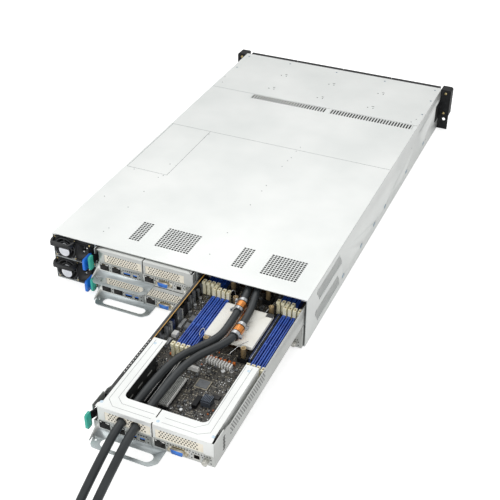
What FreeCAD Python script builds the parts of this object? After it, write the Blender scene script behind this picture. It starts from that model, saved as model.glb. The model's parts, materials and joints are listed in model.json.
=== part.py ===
# A 2U rack chassis that holds four server nodes, two power supplies and twelve drives.
# The origin is the centre of the chassis floor's underside. +Y points to the drive bays, +X to
# the right as seen from the rear, +Z up. Lengths are in millimetres.
import FreeCAD, Part
import math
import os

import Sketcher
from FreeCAD import Placement, Rotation, Vector

SIZES = {
    # chassis
    "chassis_width": 440.0,
    "chassis_height": 87.5,
    "chassis_depth": 782.0,
    "wall": 1.2,
    "thin_wall": 1.0,
    "lip": 9.0,
    "slide_gap": 0.3,
    "seam": 0.6,
    # columns of the rear half
    "supply_column": 80.0,
    "bay_depth": 476.0,
    # covers, measured from the rear edge
    "rear_cover_length": 416.0,
    "fan_cover_length": 184.0,
    "supply_cover_start": 237.0,
    "supply_cover_edge": 4.0,
    "vent_start": 35.0,
    "vent_hole": 3.7,
    "vent_pitch": 5.0,
    "slot_length": 18.0,
    "slot_width": 3.3,
    "slot_pitch": 5.7,
    "screw_radius": 2.3,
    "screw_inset": 14.0,
    # side walls
    "side_slot_width": 2.6,
    "side_slot_height": 25.0,
    "side_slot_pitch": 5.0,
    "hook_length": 9.0,
    "hook_height": 5.0,
    "hook_depth": 1.0,
    # rack ears
    "ear_reach": 21.3,
    "ear_flange": 2.0,
    "ear_setback": 5.0,
    "ear_housing": 22.0,
    "ear_housing_bottom": 31.0,
    "ear_leaf": 30.0,
    "rack_hole_out": 12.55,
    "rack_hole_height": 22.2,
    "rack_hole_radius": 3.4,
    "button_radius": 3.6,
    "button_travel": 1.5,
    # drive bays
    "cage_depth": 177.0,
    "cage_wall": 0.8,
    "cage_side": 3.8,
    "bezel_depth": 18.0,
    "bezel_wall": 2.0,
    "drive_clearance": 5.9,
    "drive_length": 147.0,
    "carrier_length": 170.0,
    # fans of the middle wall
    "fan_size": 80.0,
    "fan_depth": 38.0,
    "fan_bore": 38.0,
    "fan_hub": 17.0,
    "fan_tip": 36.8,
    "fan_gap": 22.0,
    "shaft_radius": 2.0,
    # boards
    "board": 1.6,
    "midplane_gap": 1.5,
    "plug_height": 2.4,
    "plug_gap": 0.4,
    # power supplies
    "supply_width": 76.0,
    "supply_height": 40.0,
    "supply_length": 185.0,
    "supply_fan_x": 20.5,
    "supply_fan_radius": 18.5,
    "inlet_x": 54.0,
    "inlet_width": 22.0,
    "inlet_height": 29.0,
    # nodes
    "node_proud": 8.0,
    "node_clearance": 6.0,
    "node_margin": 3.0,
    "node_wall_height": 33.0,
    "node_ear_length": 48.0,
    "node_out": 302.0,
    "panel_height": 17.4,
    "board_stand": 0.8,
    "handle_thickness": 1.6,
    "handle_reach": 33.0,
    "cage_bar": 28.0,
    "cage_arm": 150.0,
    "cage_corner": 9.0,
    "jack_height": 12.4,
    "jack_depth": 18.0,
    "jack_wall": 1.6,
    "fit_gap": 0.2,
    "socket_width": 5.0,
    "socket_height": 12.0,
    "socket_pitch": 7.6,
    "socket_length": 130.0,
    "latch_height": 24.0,
    "latch_length": 6.0,
    # release tabs
    "node_tab_height": 25.0,
    "node_tab_reach": 13.0,
    "supply_tab_height": 21.0,
    "supply_tab_reach": 26.0,
    "tab_thickness": 3.5,
    "pin_radius": 1.2,
    # hoses
    "hose_diameter": 11.5,
    "coupling_radius": 9.0,
    "coupling_length": 46.0,
}

document = FreeCAD.newDocument("RackServer")
sheet = document.addObject("Spreadsheet::Sheet", "Dims")
for row, (alias, number) in enumerate(SIZES.items(), start=1):
    sheet.set(f"A{row}", alias)
    sheet.set(f"B{row}", str(number))
    sheet.setAlias(f"B{row}", alias)
document.recompute()


class Size:
    """A length as a number, with the sheet expression that gives it."""

    def __init__(self, number, text):
        self.number = float(number)
        self.text = text

    def __float__(self):
        return self.number

    def __neg__(self):
        return Size(-self.number, f"(0 - {self.text})")

    def __add__(self, other):
        other = as_size(other)
        return Size(self.number + other.number, f"({self.text} + {other.text})")

    def __sub__(self, other):
        other = as_size(other)
        return Size(self.number - other.number, f"({self.text} - {other.text})")

    def __mul__(self, factor):
        factor = as_size(factor)
        return Size(self.number * factor.number, f"({self.text} * {factor.text})")

    def __truediv__(self, factor):
        factor = as_size(factor)
        return Size(self.number / factor.number, f"({self.text} / {factor.text})")

    def __radd__(self, other):
        return as_size(other) + self

    def __rsub__(self, other):
        return as_size(other) - self

    def __rmul__(self, factor):
        return as_size(factor) * self


def as_size(value):
    return value if isinstance(value, Size) else Size(value, repr(float(value)))


class Dims:
    """The cells of the sheet, each as a Size."""


for alias in SIZES:
    setattr(Dims, alias, Size(sheet.get(alias), f"Dims.{alias}"))
D = Dims

# Places that several pieces share.
half_width = D.chassis_width / 2
rear = -(D.chassis_depth / 2)
front = D.chassis_depth / 2
cover_top = D.chassis_height
cover_under = cover_top - D.wall
lip_under = cover_under - D.wall
supply_wall_x = D.supply_column - half_width
node_pitch = (D.chassis_width - D.supply_column) / 2
middle_wall_x = supply_wall_x + node_pitch
node_height = (lip_under - D.wall * 2 - D.slide_gap * 4) / 2
lower_floor = D.wall + D.slide_gap
shelf_low = lower_floor + node_height + D.slide_gap
shelf_high = shelf_low + D.wall
upper_floor = shelf_high + D.slide_gap
node_length = D.bay_depth + D.node_proud - D.node_clearance
board_length = node_length - 4
fan_start = D.bay_depth + D.fan_gap
midplane_start = D.bay_depth + D.midplane_gap
drive_cover_start = D.rear_cover_length + D.fan_cover_length
cage_start = front - D.cage_depth
backplane_start = cage_start - D.plug_gap - D.plug_height - D.board


# Helpers for sketches and solids.
class Ring:
    """A circle of a sketch."""

    def __init__(self, across, up, radius):
        self.across, self.up, self.radius = as_size(across), as_size(up), as_size(radius)


def rectangle(left, right, low, high):
    return [(left, low), (right, low), (right, high), (left, high)]


def centred(across, up, width, height):
    return rectangle(across - width / 2, across + width / 2, up - height / 2, up + height / 2)


class Piece:
    """A body made of pads and pockets whose sketches are tied to the sheet."""

    def __init__(self, label):
        self.body = document.addObject("PartDesign::Body", label)
        self.body.Label = label

    def role(self, name):
        return next(o for o in self.body.Origin.OriginFeatures if o.Role == name)

    def sketch(self, plane, offset, loops):
        sketch = self.body.newObject("Sketcher::SketchObject", "Sketch")
        sketch.AttachmentSupport = [(self.role(f"{plane}_Plane"), "")]
        sketch.MapMode = "FlatFace"
        offset = as_size(offset)
        away = -offset if plane == "XZ" else offset
        sketch.setExpression("AttachmentOffset.Base.z", away.text)
        for loop in loops:
            if isinstance(loop, Ring):
                draw_ring(sketch, loop)
            else:
                draw_outline(sketch, loop)
        return sketch

    def pad(self, plane, low, high, *loops):
        """Extrudes one profile, with any loops inside it as openings."""
        sketch = self.sketch(plane, low, loops)
        feature = self.body.newObject("PartDesign::Pad", "Pad")
        feature.Profile = sketch
        feature.setExpression("Length", (as_size(high) - low).text)
        feature.Reversed = plane == "XZ"
        return self

    def pads(self, plane, low, high, loops):
        """Extrudes separate profiles, a few to a sketch."""
        for few in batches(loops):
            self.pad(plane, low, high, *few)
        return self

    def cut(self, plane, low, high, *loops):
        """Cuts separate openings, a few to a sketch."""
        for few in batches(loops):
            document.recompute()
            before = self.body.Shape.Volume
            sketch = self.sketch(plane, low, few)
            feature = self.body.newObject("PartDesign::Pocket", "Pocket")
            feature.Profile = sketch
            feature.setExpression("Length", (as_size(high) - low).text)
            feature.Reversed = plane != "XZ"
            document.recompute()
            if self.body.Shape.Volume >= before:
                raise ValueError(f"a pocket of {self.body.Label} cuts nothing")
        return self

    def fillet(self, radius, axis, places):
        """Rounds the straight edges along an axis that pass through the given places."""
        document.recompute()
        names = edges_along(self.body.Shape, axis, places)
        base = self.body.Tip
        feature = self.body.newObject("PartDesign::Fillet", "Fillet")
        feature.Base = (base, names)
        feature.setExpression("Radius", as_size(radius).text)
        self.body.Tip = feature
        return self

    def at(self, across, along, up):
        place(self.body, across, along, up)
        return self.body


def batches(loops, size=4):
    return [loops[i : i + size] for i in range(0, len(loops), size)]


def draw_outline(sketch, points):
    first = sketch.GeometryCount
    points = [(as_size(a), as_size(b)) for a, b in points]
    corners = [Vector(a.number, b.number, 0) for a, b in points]
    count = len(corners)
    lines = [Part.LineSegment(corners[i], corners[(i + 1) % count]) for i in range(count)]
    sketch.addGeometry(lines, False)
    joins = [
        Sketcher.Constraint("Coincident", first + i, 2, first + (i + 1) % count, 1)
        for i in range(count)
    ]
    sketch.addConstraint(joins)
    for i, (across, up) in enumerate(points):
        tie(sketch, "DistanceX", first + i, 1, across)
        tie(sketch, "DistanceY", first + i, 1, up)


def draw_ring(sketch, ring):
    centre = Vector(ring.across.number, ring.up.number, 0)
    circle = Part.Circle(centre, Vector(0, 0, 1), ring.radius.number)
    index = sketch.addGeometry(circle, False)
    tie(sketch, "DistanceX", index, 3, ring.across)
    tie(sketch, "DistanceY", index, 3, ring.up)
    radius = sketch.addConstraint(Sketcher.Constraint("Radius", index, ring.radius.number))
    sketch.setExpression(f"Constraints[{radius}]", ring.radius.text)


def tie(sketch, kind, geometry, point, value):
    """Ties one coordinate of a sketch point to its distance from the sketch's origin."""
    constraint = Sketcher.Constraint(kind, -1, 1, geometry, point, value.number)
    index = sketch.addConstraint(constraint)
    sketch.setExpression(f"Constraints[{index}]", value.text)


def edges_along(shape, axis, places):
    direction = {"X": Vector(1, 0, 0), "Y": Vector(0, 1, 0), "Z": Vector(0, 0, 1)}[axis]
    others = [i for i, letter in enumerate("XYZ") if letter != axis]
    names = []
    for number, edge in enumerate(shape.Edges, start=1):
        if len(edge.Vertexes) != 2:
            continue
        start, end = (vertex.Point for vertex in edge.Vertexes)
        span = end - start
        if span.cross(direction).Length > 1e-6 * span.Length:
            continue
        for place_ in places:
            if all(abs(start[i] - float(p)) < 1e-4 for i, p in zip(others, place_)):
                names.append(f"Edge{number}")
    if not names:
        raise ValueError(f"no edge along {axis} at {[tuple(map(float, p)) for p in places]}")
    return names


def place(item, across, along, up):
    for axis, value in zip("xyz", (across, along, up)):
        item.setExpression(f"Placement.Base.{axis}", as_size(value).text)


def block(label, corner, edges):
    box = document.addObject("Part::Box", label)
    box.Label = label
    for name, value in zip(("Length", "Width", "Height"), edges):
        box.setExpression(name, as_size(value).text)
    place(box, *corner)
    return box


TURNS = {"X": Rotation(Vector(0, 1, 0), 90), "Y": Rotation(Vector(1, 0, 0), -90), "Z": Rotation()}


def rod(label, start, radius, length, axis="Z"):
    """A cylinder that starts at a point and runs along +X, +Y or +Z."""
    cylinder = document.addObject("Part::Cylinder", label)
    cylinder.Label = label
    cylinder.setExpression("Radius", as_size(radius).text)
    cylinder.setExpression("Height", as_size(length).text)
    cylinder.Placement = Placement(Vector(), TURNS[axis])
    place(cylinder, *start)
    return cylinder


def feature(label, shape):
    item = document.addObject("Part::Feature", label)
    item.Label = label
    item.Shape = shape
    return item


def group(label, *members):
    compound = document.addObject("Part::Compound", label)
    compound.Label = label
    compound.Links = list(members)
    return compound


def joined(label, *members):
    fuse = document.addObject("Part::MultiFuse", label)
    fuse.Label = label
    fuse.Shapes = list(members)
    return fuse


nodes = []


def keep(item):
    """Marks an object as a sub-part that is written to a file of its own."""
    nodes.append(item)
    return item


def placed(label, members, across, along, up):
    """A sub-part made of shared members at a place of its own."""
    whole = group(label, *members)
    place(whole, across, along, up)
    return keep(whole)


def grid(start, pitch, count):
    return [start + pitch * i for i in range(count)]


# Chassis pan: floor, side walls with inward lips, side vents, rail hooks and long grooves.
HOOK_PLACES = (171, 265, 338, 403, 540, 663)
VENT_ROWS = ((13, 40), (50, 45))
VENT_SLOTS = 23


def side_slots(low, start):
    """Slots of one vent field. The first and last are shorter, in line with a slanted end."""
    slots = []
    for i in range(VENT_SLOTS):
        along = rear + start + D.side_slot_pitch * i
        short = {0: 0.6, 1: 0.3, VENT_SLOTS - 1: 0.6, VENT_SLOTS - 2: 0.3}.get(i, 0.0)
        cropped = D.side_slot_height * short
        bottom = low if i > 2 else low + cropped
        top = low + D.side_slot_height - (cropped if i > 2 else 0.0)
        slots.append(rectangle(along, along + D.side_slot_width, bottom, top))
    return slots


def make_pan():
    pan = Piece("chassis_pan")
    inner = half_width - D.wall
    edge = half_width - D.lip
    right = [
        (half_width, 0),
        (half_width, cover_under),
        (edge, cover_under),
        (edge, lip_under),
        (inner, lip_under),
        (inner, D.wall),
    ]
    left = [(-as_size(x), z) for x, z in reversed(right)]
    pan.pad("XZ", rear, front, right + left)
    hooks = [
        centred(rear + along, as_size(18.5), D.hook_length, D.hook_height) for along in HOOK_PLACES
    ]
    pan.pads("YZ", half_width, half_width + D.hook_depth, hooks)
    pan.pads("YZ", -half_width - D.hook_depth, -half_width, hooks)
    groove = rectangle(rear + drive_cover_start + 16, front - 18, 65, 70)
    pan.cut("YZ", half_width - D.wall / 2, half_width + D.wall, groove)
    pan.cut("YZ", -half_width - D.wall, -half_width + D.wall / 2, groove)
    slots = [slot for low, start in VENT_ROWS for slot in side_slots(low, start)]
    pan.cut("YZ", half_width - D.wall * 2, half_width + D.wall, *slots)
    keep(pan.body)


def make_dividers():
    """The shelf between upper and lower bays with the two upright bay walls."""
    inner = half_width - D.wall
    half = D.wall / 2
    outline = [(-inner, shelf_low)]
    for x in (supply_wall_x, middle_wall_x):
        outline += [(x - half, shelf_low), (x - half, D.wall), (x + half, D.wall)]
        outline += [(x + half, shelf_low)]
    outline += [(inner, shelf_low), (inner, shelf_high)]
    for x in (middle_wall_x, supply_wall_x):
        outline += [(x + half, shelf_high), (x + half, cover_under), (x - half, cover_under)]
        outline += [(x - half, shelf_high)]
    outline += [(-inner, shelf_high)]
    dividers = Piece("bay_dividers")
    dividers.pad("XZ", rear, rear + D.bay_depth, outline)
    keep(dividers.body)


# Covers. Each vent field gives its left edge, from the chassis centre, and its columns. Each bank
# of slots runs from a point past one bay wall to the next wall.
VENT_FIELDS = ((-99.0, 4), (-52.5, 12), (81.0, 4), (129.0, 12))
VENT_HOLE_ROWS = 11
SLOT_BANKS = ((supply_wall_x + 16, middle_wall_x - 3), (middle_wall_x + 5.5, half_width - 3))


def wire_of(corners):
    return Part.makePolygon(corners + corners[:1])


def perforated(outline, holes, low, high):
    """A flat plate with many square holes, made from one face. The holes run the other way round."""
    face = Part.Face([wire_of(outline)] + [wire_of(hole[::-1]) for hole in holes])
    plate = face.extrude(Vector(0, 0, high - low))
    plate.translate(Vector(0, 0, low))
    return plate


def square_hole(x, y, width, length):
    return [Vector(x, y, 0), Vector(x + width, y, 0), Vector(x + width, y + length, 0),
            Vector(x, y + length, 0)]


def screw_places():
    """The flush screws along the edges of the drive cover and of the rear cover."""
    inset = D.screw_inset
    row = [(x, front - inset) for x in (-(half_width - 10), -bay_pitch - 5, as_size(-6),
                                        bay_pitch - 6, half_width - 11)]
    start = rear + drive_cover_start
    sides = [(half_width - 6, start + 116), (half_width - 6, start + 51), (-half_width + 9, start + 105)]
    return row + sides


def make_rear_cover():
    left = -half_width
    notch = left + D.supply_cover_edge
    edge = rear + D.rear_cover_length - D.seam / 2
    start = rear + D.supply_cover_start
    inner = supply_wall_x + D.supply_cover_edge
    corners = [(left, rear), (half_width, rear), (half_width, edge), (inner, edge),
               (inner, start), (notch, start), (notch, edge), (left, edge)]
    outline = [Vector(float(x), float(y), 0) for x, y in corners]
    hole, pitch = float(D.vent_hole), float(D.vent_pitch)
    first_row = float(rear + D.vent_start)
    holes = [
        square_hole(field_left + pitch * column, first_row + pitch * line, hole, hole)
        for field_left, columns in VENT_FIELDS
        for column in range(columns)
        for line in range(VENT_HOLE_ROWS)
    ]
    keep(feature("rear_cover", perforated(outline, holes, float(cover_under), float(cover_top))))


def make_supply_cover():
    cover = Piece("supply_cover")
    left = -half_width + D.supply_cover_edge + D.seam / 2
    right = supply_wall_x + D.supply_cover_edge - D.seam / 2
    low = rear + D.supply_cover_start + D.seam / 2
    high = rear + D.rear_cover_length - D.seam / 2
    cover.pad("XY", cover_under, cover_top, rectangle(left, right, low, high))
    keep(cover.body)


def make_fan_cover():
    low = rear + D.rear_cover_length + D.seam / 2
    high = rear + drive_cover_start - D.seam / 2
    corners = rectangle(-half_width, half_width, low, high)
    outline = [Vector(float(x), float(y), 0) for x, y in corners]
    length, width, pitch = float(D.slot_length), float(D.slot_width), float(D.slot_pitch)
    slot_start = float(high) - length - float(D.wall)
    slots = [
        square_hole(float(bank_left) + pitch * i, slot_start, width, length)
        for bank_left, bank_right in SLOT_BANKS
        for i in range(int((float(bank_right) - float(bank_left)) / pitch))
    ]
    keep(feature("fan_cover", perforated(outline, slots, float(cover_under), float(cover_top))))


def make_front_cover():
    cover = Piece("drive_cover")
    low = rear + drive_cover_start + D.seam / 2
    cover.pad("XY", cover_under, cover_top, rectangle(-half_width, half_width, low, front))
    holes = [Ring(x, y, D.screw_radius) for x, y in screw_places()]
    cover.cut("XY", cover_under - D.wall, cover_top + D.wall, *holes)
    keep(cover.body)


def make_screws():
    """Cover screws in their holes, and the screws of the ears' housings on the rear face."""
    radius = D.screw_radius - D.fit_gap
    heads = [
        rod(f"cover_screw_{i}", (x, y, cover_under), radius, D.wall)
        for i, (x, y) in enumerate(screw_places(), start=1)
    ]
    flange_rear = front - D.ear_setback
    for side in (-1, 1):
        for height in (D.ear_housing_bottom + 5, D.chassis_height - 7.5):
            start = ((half_width + D.ear_reach / 2) * side, flange_rear - 1.6, height)
            heads.append(rod(f"ear_screw_{len(heads)}", start, 2.6, 1.6, "Y"))
    keep(group("chassis_screws", *heads))


# Rack ears with the power buttons of the nodes.
BUTTON_HEIGHTS = (48.0, 68.0)


def button_x(side):
    return (half_width + D.ear_reach / 2) * side


def make_ear(label, side):
    """A flange with the rack hole, a leaf along the side wall and a moulded housing in front."""
    ear = Piece(label)
    low, high = half_width, half_width + D.ear_reach
    if side < 0:
        low, high = -high, -low
    flange_rear = front - D.ear_setback
    housing_rear = flange_rear + D.ear_flange
    housing_front = housing_rear + D.ear_housing
    height = D.chassis_height
    ear.pad("XZ", flange_rear, housing_rear, rectangle(low, high, 0, height))
    ear.pad("XZ", housing_rear, housing_front, rectangle(low, high, D.ear_housing_bottom, height))
    inner = low if side > 0 else high
    leaf = sorted((inner, inner + D.wall * side), key=float)
    ear.pad("XZ", flange_rear - D.ear_leaf, flange_rear, rectangle(*leaf, 26, height - 26))
    hole = Ring((half_width + D.rack_hole_out) * side, D.rack_hole_height, D.rack_hole_radius)
    ear.cut("XZ", flange_rear - 1, housing_rear + 1, hole)
    wells = [Ring(button_x(side), z, D.button_radius + D.fit_gap) for z in BUTTON_HEIGHTS]
    ear.cut("XZ", housing_front - 8, housing_front + 1, *wells)
    outer = high if side > 0 else low
    ear.fillet(5, "Y", [(outer, height)])
    ear.fillet(3, "Z", [(outer, housing_front)])
    keep(ear.body)


def make_buttons():
    face = front - D.ear_setback + D.ear_flange + D.ear_housing
    number = 1
    for side in (-1, 1):
        for height in BUTTON_HEIGHTS:
            start = (button_x(side), face - 8 + D.button_travel + D.slide_gap, height)
            length = 8 - D.button_travel - D.slide_gap + 0.6
            keep(rod(f"power_button_{number}", start, D.button_radius, length, "Y"))
            number += 1


# Drive cage and carriers.
COLUMNS = 4
ROWS = 3
bay_pitch = (D.chassis_width - (D.wall + D.cage_side) * 2) / COLUMNS
drive_width = bay_pitch - D.drive_clearance


def bay_edges():
    """The bay's left edge for each column, and its floor for each row."""
    total = bay_pitch * COLUMNS
    row_pitch = (lip_under - D.wall - D.cage_wall * 2) / ROWS
    lefts = [-(total / 2) + bay_pitch * c + D.cage_wall / 2 for c in range(COLUMNS)]
    floors = [D.wall + D.cage_wall * 1.5 + row_pitch * r for r in range(ROWS)]
    return lefts, floors, bay_pitch - D.cage_wall, row_pitch - D.cage_wall


def make_cage():
    cage = Piece("drive_cage")
    half = bay_pitch * COLUMNS / 2 + D.cage_wall / 2
    lefts, floors, width, height = bay_edges()
    cells = [rectangle(x, x + width, z, z + height) for x in lefts for z in floors]
    outer = rectangle(-half, half, D.wall, lip_under)
    cage.pad("XZ", cage_start, front, outer, *cells)
    side_gap = D.cage_side - D.cage_wall / 2
    for x in (half, -half - side_gap):
        cage.pad("XY", D.wall, D.wall + 10, rectangle(x, x + side_gap, cage_start, front))
    keep(cage.body)


def make_carriers():
    """Carriers with side rails, bezel frame, release lever and drive, one for each bay."""
    lefts, floors, bay_width, bay_height = bay_edges()
    width = bay_width - D.slide_gap * 2
    height = bay_height - D.slide_gap * 2
    rail = (width - drive_width) / 2 - D.fit_gap
    bezel = D.bezel_depth
    carrier = Piece("carrier_frame")
    rear_end = -D.carrier_length
    carrier.pad("XY", 0, height - 6, rectangle(0, rail, rear_end, 0))
    carrier.pad("XY", 0, height - 6, rectangle(width - rail, width, rear_end, 0))
    carrier.pad("XZ", 0, bezel, rectangle(0, width, 0, height))
    mouth = rectangle(D.bezel_wall, width - D.bezel_wall, D.bezel_wall, height - D.bezel_wall)
    carrier.cut("XZ", 4, bezel + 1, mouth)
    lever = block("carrier_lever", (D.bezel_wall + 12, bezel - 7, height / 2 - 5),
                  (width - D.bezel_wall * 2 - 12, 5, 10))
    pivot = block("carrier_pivot", (width - D.bezel_wall - 8, 4, height / 2 - 5), (8, bezel - 11, 10))
    drive_left = rail + D.fit_gap
    drive = block("carrier_drive", (drive_left, -D.drive_length - D.fit_gap, D.fit_gap),
                  (drive_width, D.drive_length, height - D.fit_gap * 2))
    handle = joined("carrier_handle", lever, pivot)
    for column, left in enumerate(lefts, start=1):
        for row, floor in enumerate(floors, start=1):
            whole = group(f"drive_carrier_{column}{row}", carrier.body, handle, drive)
            place(whole, left + D.slide_gap, front + D.slide_gap, floor + D.slide_gap)
            keep(whole)


# Boards that are fixed in the chassis.
def make_boards():
    inner = half_width - D.wall
    plane = Piece("midplane")
    start = rear + midplane_start
    low, high = D.wall, lip_under - D.fit_gap
    left = supply_wall_x
    windows = [
        centred(left + node_pitch * (i + 0.5), z, node_pitch - 40, 14)
        for i in range(2)
        for z in (lower_floor + 26, upper_floor + 26)
    ]
    plane.pad("XZ", start, start + D.board, rectangle(-inner + 1, inner - 1, low, high), *windows)
    back = Piece("drive_backplane")
    start = backplane_start
    lefts, floors, width, height = bay_edges()
    windows = [rectangle(x + 30, x + width - 8, z + 5, z + height - 6) for x in lefts for z in floors]
    back.pad("XZ", start, start + D.board, rectangle(-inner + 1, inner - 1, low, high))
    back.cut("XZ", start - 1, start + D.board + 1, *windows)
    plugs = [rectangle(x + 6, x + 26, z + 5, z + 12) for x in lefts for z in floors]
    back.pads("XZ", start + D.board, start + D.board + D.plug_height, plugs)
    power = Piece("power_board")
    depth = rear + D.bay_depth + 1.2
    floor = D.wall + 3
    power.pad("XY", floor, floor + D.board,
              rectangle(-inner + 4, supply_wall_x - 4, rear + D.supply_length + 12, depth - 4))
    feet = [Ring(x, y, 2.5) for x in (-inner + 9, supply_wall_x - 9)
            for y in (rear + D.supply_length + 20, depth - 12)]
    power.pads("XY", D.wall, floor, feet)
    blades = rectangle(-inner + 18, -inner + 60, floor + D.board, floor + D.board + 20)
    power.pad("XZ", rear + D.supply_length + 14, rear + D.supply_length + 26, blades)
    keep(group("system_boards", plane.body, back.body, power.body))


# Fans.
FANS = 4


def fan_centre(number):
    """Centre of a fan, from the left of the node columns."""
    pitch = node_pitch * 2 / FANS
    return supply_wall_x + pitch * (number + 0.5), D.wall + D.fan_size / 2 + D.slide_gap


def make_fan_frames():
    frames = []
    start = rear + fan_start
    for number in range(FANS):
        x, z = fan_centre(number)
        frame = Piece(f"fan_frame_{number + 1}")
        square = centred(x, z, D.fan_size, D.fan_size)
        frame.pad("XZ", start, start + D.fan_depth, square, Ring(x, z, D.fan_bore))
        reach = D.fan_bore + 0.5
        struts = [rectangle(x - reach, x - D.fan_hub + 1, z - 2, z + 2),
                  rectangle(x + D.fan_hub - 1, x + reach, z - 2, z + 2),
                  rectangle(x - 2, x + 2, z - reach, z - D.fan_hub + 1),
                  rectangle(x - 2, x + 2, z + D.fan_hub - 1, z + reach)]
        frame.pad("XZ", start, start + 3, Ring(x, z, D.fan_hub))
        frame.pad("XZ", start, start + 3, *struts)
        frame.pad("XZ", start + 3, start + 24, Ring(x, z, D.shaft_radius))
        frames.append(frame.body)
    keep(group("fan_frames", *frames))


def blade(root, tip, length, pitch_angle, thickness=1.2):
    """One twisted blade that stands along +Z on an axis along +Y."""
    sections = []
    for radius, angle in ((root, pitch_angle), (tip, pitch_angle * 0.55)):
        lean = math.tan(math.radians(angle)) * length / 2
        corners = [Vector(-lean - thickness, 0, radius), Vector(-lean + thickness, 0, radius),
                   Vector(thickness, length * 0.55, radius), Vector(lean + thickness, length, radius),
                   Vector(lean - thickness, length, radius), Vector(-thickness, length * 0.55, radius)]
        sections.append(wire_of(corners))
    return Part.makeLoft(sections, True, True)


def rotor(hub, tip, length, count, bore, bore_depth):
    """A hub with a blind bore for the shaft and twisted blades around it."""
    axis = Vector(0, 1, 0)
    core = Part.makeCylinder(hub, length, Vector(), axis)
    solid = core
    wing = blade(hub - 1.5, tip, length * 0.86, 38)
    wing.translate(Vector(0, length * 0.07, 0))
    for i in range(count):
        turned = wing.copy()
        turned.rotate(Vector(), axis, 360.0 / count * i)
        solid = solid.fuse(turned)
    rim = Part.makeCylinder(tip, length, Vector(), axis)
    solid = solid.common(rim)
    solid = solid.cut(Part.makeCylinder(bore, bore_depth, Vector(), axis))
    return solid.Solids[0]


def make_fan_rotors():
    gap = 0.3
    bore = float(D.shaft_radius) + gap
    shape = rotor(float(D.fan_hub), float(D.fan_tip), 26.0, 7, bore, 22.0)
    for number in range(FANS):
        x, z = fan_centre(number)
        item = feature(f"fan_rotor_{number + 1}", shape)
        place(item, x, rear + fan_start + 3 + gap, z)
        keep(item)


# Power supplies.
SUPPLY_FAN_LENGTH = 11.0


def ring_loops(x, z, inner, outer):
    return [Ring(x, z, outer), Ring(x, z, inner)]


def make_supplies():
    """Cases with fan well and inlet, wire guard, inlet pins, handle, rotor and release tab."""
    fan_z = D.supply_height / 2
    case = Piece("supply_shell")
    case.pad("XZ", 0, D.supply_length, rectangle(0, D.supply_width, 0, D.supply_height))
    case.cut("XZ", -1, 28, Ring(D.supply_fan_x, fan_z, D.supply_fan_radius))
    inlet = centred(D.inlet_x, fan_z, D.inlet_width, D.inlet_height)
    case.cut("XZ", -1, 16, inlet)
    case.cut("XY", 6, D.supply_height - 4, rectangle(D.supply_width - 9, D.supply_width + 1, -1, 22))
    case.pad("XY", 5, D.supply_height - 3, Ring(D.supply_width - 4.5, 14, D.pin_radius))
    case.pad("XZ", 28 - 6, 29, Ring(D.supply_fan_x, fan_z, 8))
    case.pad("XZ", 28 - 15, 28, Ring(D.supply_fan_x, fan_z, 1.5))
    guard = Piece("supply_guard")
    outer = D.supply_fan_radius + 0.4
    guard.pad("XZ", -1, 0, *ring_loops(D.supply_fan_x, fan_z, outer - 1.4, outer))
    guard.pad("XZ", -1, 0, *ring_loops(D.supply_fan_x, fan_z, 11.6, 12.8))
    guard.pad("XZ", -1, 0, Ring(D.supply_fan_x, fan_z, 9.3))
    bars = []
    for sign in (-1, 1):
        near, far = sorted((sign * 7.0, sign * (outer - 0.5)), key=float)
        bars.append(rectangle(D.supply_fan_x + near, D.supply_fan_x + far, fan_z - 0.6, fan_z + 0.6))
        bars.append(rectangle(D.supply_fan_x - 0.6, D.supply_fan_x + 0.6, fan_z + near, fan_z + far))
    for bar in bars:
        guard.pad("XZ", -1, 0, bar)
    pins = [
        block(f"supply_pin_{i}", (D.inlet_x + dx - 1, 6, fan_z + dz - 2), (2, 10, 4))
        for i, (dx, dz) in enumerate(((0, 6), (-5, -4), (5, -4)), start=1)
    ]
    reach = 17
    handle = Piece("supply_grip")
    strap = [(1, 0), (1, -9), (5, -reach), (38, -reach), (42, -9), (42, 0), (38.5, 0), (38.5, -8),
             (36, 4 - reach), (7, 4 - reach), (4.5, -8), (3.1, -2), (3.1, 0)]
    handle.pad("XY", D.supply_height - 8.5, D.supply_height - 1.5, strap)
    shape = rotor(8.0, float(D.supply_fan_radius) - 0.8, SUPPLY_FAN_LENGTH, 5, 1.8, 9.4)
    shape.rotate(Vector(), Vector(0, 0, 1), 180)
    pad_size = (D.supply_tab_reach, D.supply_tab_height)
    tab = release_tab("supply_release", (D.supply_width - 4.5, 14), D.supply_width - 7.5, 5, pad_size,
                      (8, 26))
    left = -half_width + D.wall + 0.5
    for level, floor in (("lower", lower_floor), ("upper", upper_floor)):
        whole = group(f"supply_{level}_case", case.body, guard.body, handle.body, *pins)
        fan = feature(f"supply_{level}_fan", shape)
        place(whole, left, rear, floor)
        place(fan, left + D.supply_fan_x, rear + 10.4 + SUPPLY_FAN_LENGTH, floor + fan_z)
        keep(whole)
        keep(fan)
        placed(f"supply_{level}_tab", [tab], left, rear, floor)


def release_tab(label, pin, pad_x, pad_low, pad_size, arm):
    """A finger pad behind the rear face, with an arm to the eye that turns on an upright pin."""
    tab = Piece(label)
    thick = D.tab_thickness
    reach, height = pad_size
    pin_x, pin_y = pin
    low, high = arm
    tab.pad("XY", pad_low, pad_low + height, rectangle(pad_x, pad_x + thick, -reach, -1.5))
    eye = D.pin_radius + D.fit_gap
    outline = [(pad_x + 1, -3), (pad_x + thick, -3), (pin_x + 1.8, pin_y - 2), (pin_x - 1.8, pin_y - 2)]
    tab.pad("XY", low, high, outline)
    tab.pad("XY", low, high, Ring(pin_x, pin_y, eye + 1.3))
    tab.cut("XY", low - 1, high + 1, Ring(pin_x, pin_y, eye))
    top = pad_low + height
    tab.fillet(4, "X", [(-reach, top), (-reach, pad_low)])
    tab.fillet(3, "X", [(-1.5, top), (-1.5, pad_low)])
    return tab.body


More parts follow.
